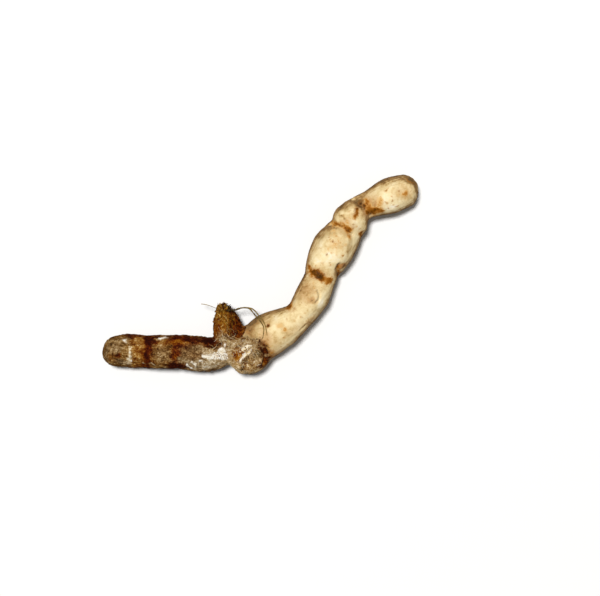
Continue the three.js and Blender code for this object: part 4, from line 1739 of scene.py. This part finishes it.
@dataclass
class Litter:
    """Many small closed shapes that lie on the skin, gathered into one piece."""

    CURL_RINGS = 6
    TRAIL_STEPS = 7
    TRAIL_TURN = 0.26
    TRAIL_WAVER = 0.5
    TRAIL_LIFT = 0.05
    ODD_WAY = (0.31, 0.17, 0.93)
    GRAIN_EDGE = 1.1
    GRAIN_CORNERS = (0.65, 1.15)
    SLIVER_TILT = 0.12
    SLIVER_LIFT = 0.06
    GROUND_GAP = 0.05
    TOP_GAP = 0.02

    skin: Skin
    seed: int
    blocks: list[Array] = field(default_factory=list)
    faces: list[tuple[int, ...]] = field(default_factory=list)
    tones: list[float] = field(default_factory=list)

    def __post_init__(self) -> None:
        """Starts the random draws."""
        self.draw = np.random.default_rng(self.seed)

    def put(self, points: Array, faces: list[tuple[int, ...]], tone: float | Array) -> None:
        """Adds a shape.

        Args:
            points: Its corners.
            faces: Its faces, as numbers of corners.
            tone: How light it is, from -1 to 1, as one value or one a corner.
        """
        start = len(self.tones)
        self.faces += [tuple(start + corner for corner in face) for face in faces]
        self.blocks.append(points)
        self.tones += list(np.broadcast_to(tone, len(points)))

    def curl(self, start: Array, ahead: Array, length: float, bend: float) -> Array:
        """A short curved route.

        Args:
            start: Where it starts.
            ahead: Which way it sets out.
            length: How long it is.
            bend: How far its end leans over, as a share of its length.

        Returns:
            One row a ring.
        """
        lean = unit(np.cross(ahead, self.draw.normal(size=3)))
        share = np.linspace(0.0, 1.0, self.CURL_RINGS)[:, None]
        return start + length * (share * unit(ahead) + bend * share**2 * lean)

    def trail(self, index: int, ahead: Array, length: float, bend: float) -> Array:
        """A route that wanders over the skin and keeps close to it.

        Args:
            index: The point of the skin where it starts.
            ahead: Which way it sets out.
            length: How long it is.
            bend: How far it turns at each step, in radians.

        Returns:
            One row a ring.
        """
        place = self.skin.points[index]
        near = np.flatnonzero(np.abs(self.skin.points - place).max(axis=1) < length + 0.5)
        places, normals = self.skin.points[near], self.skin.normals[near]
        turn = min(max(self.draw.normal() * bend, -self.TRAIL_TURN), self.TRAIL_TURN)
        route = []
        for _ in range(self.TRAIL_STEPS + 1):
            nearest = np.argmin(((places - place) ** 2).sum(axis=1))
            normal = normals[nearest]
            place = place - normal * ((place - places[nearest]) @ normal)
            route.append(place + self.TRAIL_LIFT * normal)
            ahead = unit(ahead - normal * (ahead @ normal))
            swing = turn + self.TRAIL_WAVER * bend * self.draw.normal()
            ahead = math.cos(swing) * ahead + math.sin(swing) * np.cross(normal, ahead)
            place = place + length / self.TRAIL_STEPS * ahead
        return np.array(route)

    def strand(self, route: Array, radius: Array, tone: float | Array, sides: int) -> None:
        """Adds a closed tube.

        Args:
            route: Its centre line, one row a ring.
            radius: The radius of each ring.
            tone: How light it is, as one value or one a ring.
            sides: How many sides it has.
        """
        heading = np.gradient(route, axis=0)
        side = np.cross(heading[0], self.ODD_WAY)
        turn = np.linspace(0.0, 2.0 * math.pi, sides, endpoint=False)[:, None]
        rings = []
        for centre, ahead, size in zip(route, heading, radius):
            ahead = unit(ahead)
            side = unit(side - ahead * (side @ ahead))
            rings.append(centre + size * (np.cos(turn) * side + np.sin(turn) * np.cross(ahead, side)))
        faces = [tuple(range(sides))[::-1], tuple(range((len(route) - 1) * sides, len(route) * sides))]
        for ring in range(len(route) - 1):
            for corner in range(sides):
                near, far = ring * sides + corner, ring * sides + (corner + 1) % sides
                faces.append((near, far, far + sides, near + sides))
        self.put(np.vstack(rings), faces, np.repeat(np.broadcast_to(tone, len(route)), sides))

    def grain(self, place: Array, size: Array, tone: float) -> None:
        """Adds an angular grain.

        Args:
            place: Its middle.
            size: Its half lengths, along three skewed directions, one row each.
            tone: How light it is.
        """
        golden = (1.0 + math.sqrt(5.0)) / 2.0
        pairs = [(a, b) for a in (-1.0, 1.0) for b in (-golden, golden)]
        corners = [(0.0, a, b) for a, b in pairs]
        corners += [(a, b, 0.0) for a, b in pairs]
        corners += [(b, 0.0, a) for a, b in pairs]
        corners = np.array(corners) / math.hypot(1.0, golden)
        near = np.linalg.norm(corners[:, None] - corners[None], axis=2) < self.GRAIN_EDGE
        count = len(corners)
        faces = []
        for a, b, c in ((a, b, c) for a in range(count) for b in range(a) for c in range(b)):
            if near[a, b] and near[b, c] and near[a, c]:
                outward = np.cross(corners[b] - corners[a], corners[c] - corners[a]) @ corners[a] > 0
                faces.append((a, b, c) if outward else (a, c, b))
        corners *= self.draw.uniform(*self.GRAIN_CORNERS, size=(count, 1))
        self.put(place + corners @ size, faces, tone)

    def sliver(self, middle: Place, size: Triple, turn: float, tone: float) -> None:
        """Adds a long grain that lies on the upper side of the skin.

        Args:
            middle: Where it lies.
            size: Its half length, half width and half height.
            turn: Which way it points, in degrees.
            tone: How light it is.
        """
        near = self.skin.anchor(middle, Side.TOP)
        normal = self.skin.normals[near]
        along = unit(laid(turn, normal) + self.SLIVER_TILT * self.draw.normal() * normal)
        rows = np.stack([size[0] * along, size[1] * np.cross(normal, along), size[2] * normal])
        self.grain(self.skin.points[near] + self.SLIVER_LIFT * normal, rows, tone)

    def piece(self, name: str, finish: LooseFinish, smooth: bool) -> bpy.types.Object:
        """Makes the piece, riding on the root.

        Args:
            name: The piece's name.
            finish: Its finish.
            smooth: Whether its faces are shaded smooth.

        Returns:
            The piece.
        """
        points = np.vstack(self.blocks)
        points[:, 2] = np.clip(points[:, 2], self.GROUND_GAP, CAD_BOX[1].z / MM - self.TOP_GAP)
        mesh = bpy.data.meshes.new(name)
        mesh.from_pydata((points * MM).tolist(), [], self.faces)
        mesh.polygons.foreach_set("use_smooth", np.full(len(mesh.polygons), smooth))
        mesh.attributes.new(Channel.TONE.value, "FLOAT", "POINT").data.foreach_set("value", self.tones)
        mesh.materials.append(finish.material())
        piece = in_scene(name, mesh)
        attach(piece, BODY)
        return piece


@dataclass(frozen=True)
class Hair:
    """Hairs that wander over the skin: how many, their sizes and tones, and which way they set out."""

    count: int
    length: Span
    radius: Span
    tone: Span
    bend: float
    ahead: Triple = (0.0, 0.0, 0.0)
    astray: float = 1.0
    end: float = 0.5
    sides: int = 4

    def grow(self, litter: Litter, index: int, dim: float) -> None:
        """Grows one hair.

        Args:
            litter: The piece that it is added to.
            index: The point of the skin where it starts.
            dim: How much darker it is than its tone.
        """
        draw = litter.draw
        ahead = self.astray * draw.normal(size=3) + self.ahead
        route = litter.trail(index, ahead, draw.uniform(*self.length), self.bend)
        radius = draw.uniform(*self.radius) * np.linspace(1.0, self.end, len(route))
        litter.strand(route, radius, draw.uniform(*self.tone) - dim, self.sides)


@dataclass(frozen=True)
class Rootlet:
    """One hair-like rootlet: its radius, how light it is at its two ends, and the places it passes."""

    radius: float
    tones: Span
    route: tuple[Triple, ...]


@dataclass
class Rootlets:
    """Dry hair-like rootlets that leave the stub and hang over the first bead."""

    seed: int = 5
    sway: float = 0.12
    swings: float = 7.0
    near: float = 0.3
    beside: float = 0.45
    lift: float = 0.5
    evened: tuple[int, int, int] = (3, 3, 7)
    knots: float = 16.0
    knot_row: float = 9.0
    knot_height: float = 0.3
    thinning: float = 0.5
    sides: int = 8
    strands: tuple[Rootlet, ...] = (
        Rootlet(0.34, (-0.9, -0.4), (
            (-11.6, -12.6, 9.4), (-9.8, -12.4, 9.9), (-8.4, -12.5, 10.0), (-6.8, -11.9, 10.5),
        )),
        Rootlet(0.25, (-0.3, 0.0), (
            (-8.6, -12.4, 10.0), (-7.1, -11.8, 10.4), (-5.4, -11.6, 10.9), (-3.7, -11.8, 11.2),
            (-2.6, -13.1, 11.3), (-1.5, -14.6, 11.2), (0.5, -16.6, 0.0), (1.5, -18.5, 0.0),
            (1.3, -20.6, 0.0), (0.9, -22.4, 0.0),
        )),
        Rootlet(0.24, (-0.1, 0.15), (
            (-6.0, -11.7, 10.8), (-3.6, -11.6, 11.4), (-1.8, -12.5, 11.9), (-0.4, -14.4, 12.0),
            (1.5, -16.6, 12.6), (2.2, -18.8, 0.0), (2.5, -21.2, 0.0),
        )),
        Rootlet(0.13, (0.4, -0.2), (
            (-20.6, -10.4, 7.6), (-19.0, -10.6, 8.2), (-17.4, -11.0, 8.6), (-15.2, -12.0, 8.8),
        )),
    )
    finish: LooseFinish = LooseFinish(
        "rootlet", ((0.0, "20160a"), (0.35, "5d4a22"), (0.6, "957b41"), (1.0, "c3a672"))
    )

    def build(self, skin: Skin) -> bpy.types.Object:
        """Makes the rootlets.

        Args:
            skin: The skin that they touch.

        Returns:
            The piece.
        """
        litter = Litter(skin, self.seed)
        noise = Noise(self.seed)
        for number, rootlet in enumerate(self.strands):
            route = rounded(np.array(rootlet.route))
            share = np.linspace(0.0, 1.0, len(route))
            swings = share[:, None] * (self.swings, 0.0, 0.0)
            for axis in range(2):
                route[:, axis] += self.sway * noise.at(swings + (0.0, number, axis))
            for point in route:
                gap = flat_gap(skin.points, point[:2])
                if gap.min() < self.near:
                    top = skin.points[gap < self.beside, 2].max()
                    point[2] = max(point[2], top + self.lift * rootlet.radius)
            for axis, reach in enumerate(self.evened):
                route[:, axis] = running_mean(route[:, axis], reach, mode="reflect", reflect_type="odd")
            places = share[:, None] * (self.knots, 0.0, 0.0) + (0.0, number, self.knot_row)
            knots = 1.0 + self.knot_height * noise.layered(places, 2, 0.5, False)
            radius = rootlet.radius * (1.0 - self.thinning * share**2) * knots
            litter.strand(route, radius, np.interp(share, (0.0, 1.0), rootlet.tones), self.sides)
        return litter.piece("rootlets", self.finish, True)


@dataclass
class TornFibres:
    """Wool that lies on the torn stub, loose ends of fibre that fan out of it, and dark flakes.

    A flake has its middle, its half length and half width, and its angle.
    """

    seed: int = 21
    ends: int = 110
    ends_south: float = -13.4
    ends_east: float = -6.0
    fan: Triple = (0.62, 0.62, 0.0)
    lift: float = 0.12
    astray: float = 0.25
    length: Span = (1.0, 2.6)
    shorter: float = 0.35
    short_span: Span = (-13.4, -11.8)
    rooted: float = 0.3
    bend: Span = (0.0, 0.35)
    radius: Span = (0.1, 0.24)
    end: float = 0.45
    tone: Span = (-0.4, 1.0)
    dim_span: Span = (-13.2, -11.6)
    sides: int = 5
    wool: Hair = Hair(400, (1.5, 4.5), (0.05, 0.13), (-0.5, 1.1), 0.22, (-0.3, 0.9, 0.0), 0.5)
    wool_south: float = -23.0
    wool_x: Span = (-16.5, -8.4)
    wool_slope: float = -1.3
    wool_corner: float = -36.5
    wool_dim: float = 0.8
    wool_dim_span: Span = (-11.5, -9.5)
    flakes: tuple[tuple[Place, float, float, float], ...] = (
        ((-12.2, -11.0), 1.4, 0.8, -38.0), ((-11.4, -11.8), 1.3, 0.6, -30.0),
        ((-12.9, -11.4), 1.1, 0.5, -60.0), ((-10.6, -12.2), 0.9, 0.45, -45.0),
    )
    flake_height: float = 0.3
    flake_tone: Span = (-0.9, -0.6)
    finish: LooseFinish = LooseFinish(
        "torn_fibre", ((0.0, "140601"), (0.3, "432003"), (0.6, "805409"), (0.85, "b2842c"), (1.0, "d8ba72"))
    )

    def build(self, skin: Skin) -> bpy.types.Object:
        """Makes the fibres.

        Args:
            skin: The skin that they grow out of.

        Returns:
            The piece.
        """
        litter = Litter(skin, self.seed)
        draw = litter.draw
        x, y, _ = skin.points.T
        tip = np.flatnonzero((y > self.ends_south) & (x < self.ends_east))
        for index in draw.choice(tip, self.ends, replace=False):
            ahead = self.lift * skin.normals[index] + self.fan + self.astray * draw.normal(size=3)
            length = draw.uniform(*self.length)
            length *= 1.0 - self.shorter * smooth_step(x[index], *self.short_span)
            start = skin.points[index] - self.rooted * length * unit(ahead)
            route = litter.curl(start, ahead, length, draw.uniform(*self.bend))
            radius = draw.uniform(*self.radius) * np.linspace(1.0, self.end, len(route))
            tone = draw.uniform(*self.tone) - smooth_step(x[index], *self.dim_span)
            litter.strand(route, radius, tone, self.sides)
        west, east = self.wool_x
        area = (y > self.wool_south) & (x < east) & (x > west) & (y > self.wool_slope * x + self.wool_corner)
        for index in draw.choice(np.flatnonzero(area), self.wool.count, replace=False):
            self.wool.grow(litter, index, self.wool_dim * smooth_step(x[index], *self.wool_dim_span))
        for middle, long, wide, turn in self.flakes:
            litter.sliver(middle, (long, wide, self.flake_height), turn, draw.uniform(*self.flake_tone))
        return litter.piece("torn_fibres", self.finish, True)


@dataclass
class CrownCrumbs:
    """Grains of dry crust and short fuzz on the crown and where the dark limb joins it.

    A patch off the crown has its middle, how much narrower than long it is, its edge and its share.
    """

    seed: int = 33
    grains: int = 130
    grain_least: float = 0.1
    grain_more: float = 0.28
    grain_shape: Span = (0.6, 1.2)
    grain_lift: float = 0.1
    grain_tone: Span = (-0.4, 0.5)
    hairs: Hair = Hair(420, (1.0, 3.4), (0.04, 0.085), (-0.2, 0.7), 0.35)
    hair_dim_x: Span = (-11.4, -9.8)
    hair_dim_y: Span = (-22.2, -20.6)
    edge: Span = (7.2, 4.7)
    lobe_edge: Span = (0.8, -1.0)
    lobe_bare: float = 0.6
    patches: tuple[tuple[Place, float, Span, float], ...] = (
        ((-13.5, -28.0), 1.3, (4.6, 2.0), 0.5), ((-11.6, -21.4), 1.2, (4.2, 1.5), 0.6),
    )
    facing: Span = (-0.5, 0.3)
    scar_edge: Span = (0.8, 1.5)
    finish: LooseFinish = LooseFinish(
        "crumb", ((0.0, "4a3218"), (0.35, "87683c"), (0.6, "b99860"), (0.85, "e2cfa8"), (1.0, "fbf4e4"))
    )

    def build(self, skin: Skin, crown: Crown) -> bpy.types.Object:
        """Makes the grains and hairs.

        Args:
            skin: The skin that they lie on.
            crown: Where the crown is.

        Returns:
            The piece.
        """
        litter = Litter(skin, self.seed)
        draw = litter.draw
        x, y, _ = skin.points.T
        chance = self._chance(skin, crown)
        for index in draw.choice(len(x), self.grains, replace=False, p=chance):
            size = self.grain_least + self.grain_more * draw.random() ** 3
            shape = np.diag(size * draw.uniform(*self.grain_shape, size=3))
            shape = shape @ np.linalg.qr(draw.normal(size=(3, 3)))[0]
            place = skin.points[index] + self.grain_lift * size * skin.normals[index]
            litter.grain(place, shape, draw.uniform(*self.grain_tone))
        for index in draw.choice(len(x), self.hairs.count, replace=False, p=chance):
            dim = smooth_step(x[index], *self.hair_dim_x) * smooth_step(y[index], *self.hair_dim_y)
            self.hairs.grow(litter, index, dim)
        return litter.piece("crown_crumbs", self.finish, False)

    def _chance(self, skin: Skin, crown: Crown) -> Array:
        """How likely each point is to hold a grain or a hair."""
        x, y, _ = skin.points.T
        chance = smooth_step(flat_gap(skin.points, crown.middle), *self.edge)
        covered = smooth_step(crown.lobe.margin(skin), *self.lobe_edge)
        chance *= 1.0 - self.lobe_bare + self.lobe_bare * covered
        for middle, narrower, edge, share in self.patches:
            gap = np.hypot(x - middle[0], (y - middle[1]) * narrower)
            chance += share * smooth_step(gap, *edge)
        chance *= smooth_step(skin.normals[:, 2], *self.facing)
        chance *= smooth_step(crown.scar.spread(skin, skin.points), *self.scar_edge)
        return chance / chance.sum()


@dataclass
class ScarSplinters:
    """Cream shards of broken flesh standing in the crown's scar.

    A shard has its middle, its half length and half width, and its angle.
    """

    seed: int = 8
    shards: tuple[tuple[Place, float, float, float], ...] = (
        ((-5.2, -25.9), 1.7, 0.42, 30.0), ((-4.5, -25.1), 1.4, 0.5, 38.0), ((-3.8, -24.9), 0.8, 0.3, 20.0),
        ((-5.0, -28.1), 1.5, 0.4, 45.0), ((-4.1, -27.2), 1.6, 0.45, 36.0), ((-3.5, -27.5), 1.1, 0.3, 55.0),
        ((-6.5, -29.7), 0.8, 0.32, 50.0), ((-6.9, -26.9), 0.6, 0.2, 10.0),
    )
    height: float = 0.22
    tone: Span = (0.1, 0.8)
    finish: LooseFinish = LooseFinish(
        "splinter", ((0.0, "8e6a35"), (0.35, "cda970"), (0.65, "ead5a9"), (1.0, "fdf3da"))
    )

    def build(self, skin: Skin) -> bpy.types.Object:
        """Makes the shards.

        Args:
            skin: The skin that they lie on.

        Returns:
            The piece.
        """
        litter = Litter(skin, self.seed)
        for middle, long, wide, turn in self.shards:
            litter.sliver(middle, (long, wide, self.height), turn, litter.draw.uniform(*self.tone))
        return litter.piece("scar_splinters", self.finish, False)


# The studio.


@dataclass
class Studio:
    """A pale floor, soft light from the upper left, and a camera that looks straight down."""

    aim: Place = (13.9, -8.3)
    width: float = 210.0
    lens: float = 85.0
    sensor: float = 36.0
    floor_size: float = 4000.0
    floor_tone: str = "f6f5f3"
    floor_bounce: str = "8a8785"
    floor_roughness: float = 0.9
    key_place: Triple = (-380.0, 460.0, 2880.0)
    key_size: float = 620.0
    key_power: float = 86.4
    sky: float = 0.16
    backdrop: float = 0.9

    def build(self) -> None:
        """Makes the floor, the lights and the camera."""
        self._floor()
        self._key()
        self._room()
        self._camera()

    def _floor(self) -> None:
        """Lays the floor."""
        half = self.floor_size * MM / 2
        mesh = bpy.data.meshes.new("floor")
        corners = [(-half, -half, 0.0), (half, -half, 0.0), (half, half, 0.0), (-half, half, 0.0)]
        mesh.from_pydata(corners, [], [(0, 1, 2, 3)])
        material, wiring, shader = blank_material("floor")
        seen = wiring.add("ShaderNodeLightPath").outputs["Is Camera Ray"]
        tone = wiring.mix(seen, self.floor_bounce, self.floor_tone)
        wiring.give(shader, Base_Color=tone, Roughness=self.floor_roughness)
        mesh.materials.append(material)
        in_scene("floor", mesh)

    def _key(self) -> None:
        """Hangs the key light."""
        lamp = bpy.data.lights.new("key", "AREA")
        lamp.shape = "DISK"
        lamp.size = self.key_size * MM
        lamp.energy = self.key_power
        key = in_scene("key", lamp)
        key.location = Vector(self.key_place) * MM
        key.rotation_euler = (-key.location).to_track_quat("-Z", "Y").to_euler()

    def _room(self) -> None:
        """Sets the even light of the room, and a lighter backdrop for the camera alone."""
        world = bpy.data.worlds.new("room")
        world.use_nodes = True
        wiring = Wiring(world.node_tree)
        seen = wiring.add("ShaderNodeLightPath").outputs["Is Camera Ray"]
        strength = wiring.total((self.sky, self.backdrop - self.sky), seen)
        background = world.node_tree.nodes["Background"]
        wiring.give(background, Color=(1.0, 1.0, 1.0, 1.0), Strength=strength)
        bpy.context.scene.world = world
        bpy.context.scene.view_settings.view_transform = "Standard"

    def _camera(self) -> None:
        """Sets up the camera."""
        data = bpy.data.cameras.new("camera")
        data.lens = self.lens
        data.sensor_width = self.sensor
        camera = in_scene("camera", data)
        middle = (CAD_BOX[0].z + CAD_BOX[1].z) / 2
        distance = self.width * MM * self.lens / self.sensor
        camera.location = (self.aim[0] * MM, self.aim[1] * MM, middle + distance)
        bpy.context.scene.camera = camera


def main() -> None:
    """Builds the root and the studio, and notes the sizes."""
    logging.basicConfig(level=logging.INFO, format="%(message)s")
    Studio().build()
    root = KansuiRoot()
    cover, skin = root.build()
    pieces = [
        cover,
        Rootlets().build(skin),
        TornFibres().build(skin),
        CrownCrumbs().build(skin, root.crown),
        ScarSplinters().build(skin),
    ]
    for piece in pieces:
        log.info("%s: %d faces", piece.name, len(piece.data.polygons))


if __name__ == "__main__":
    main()
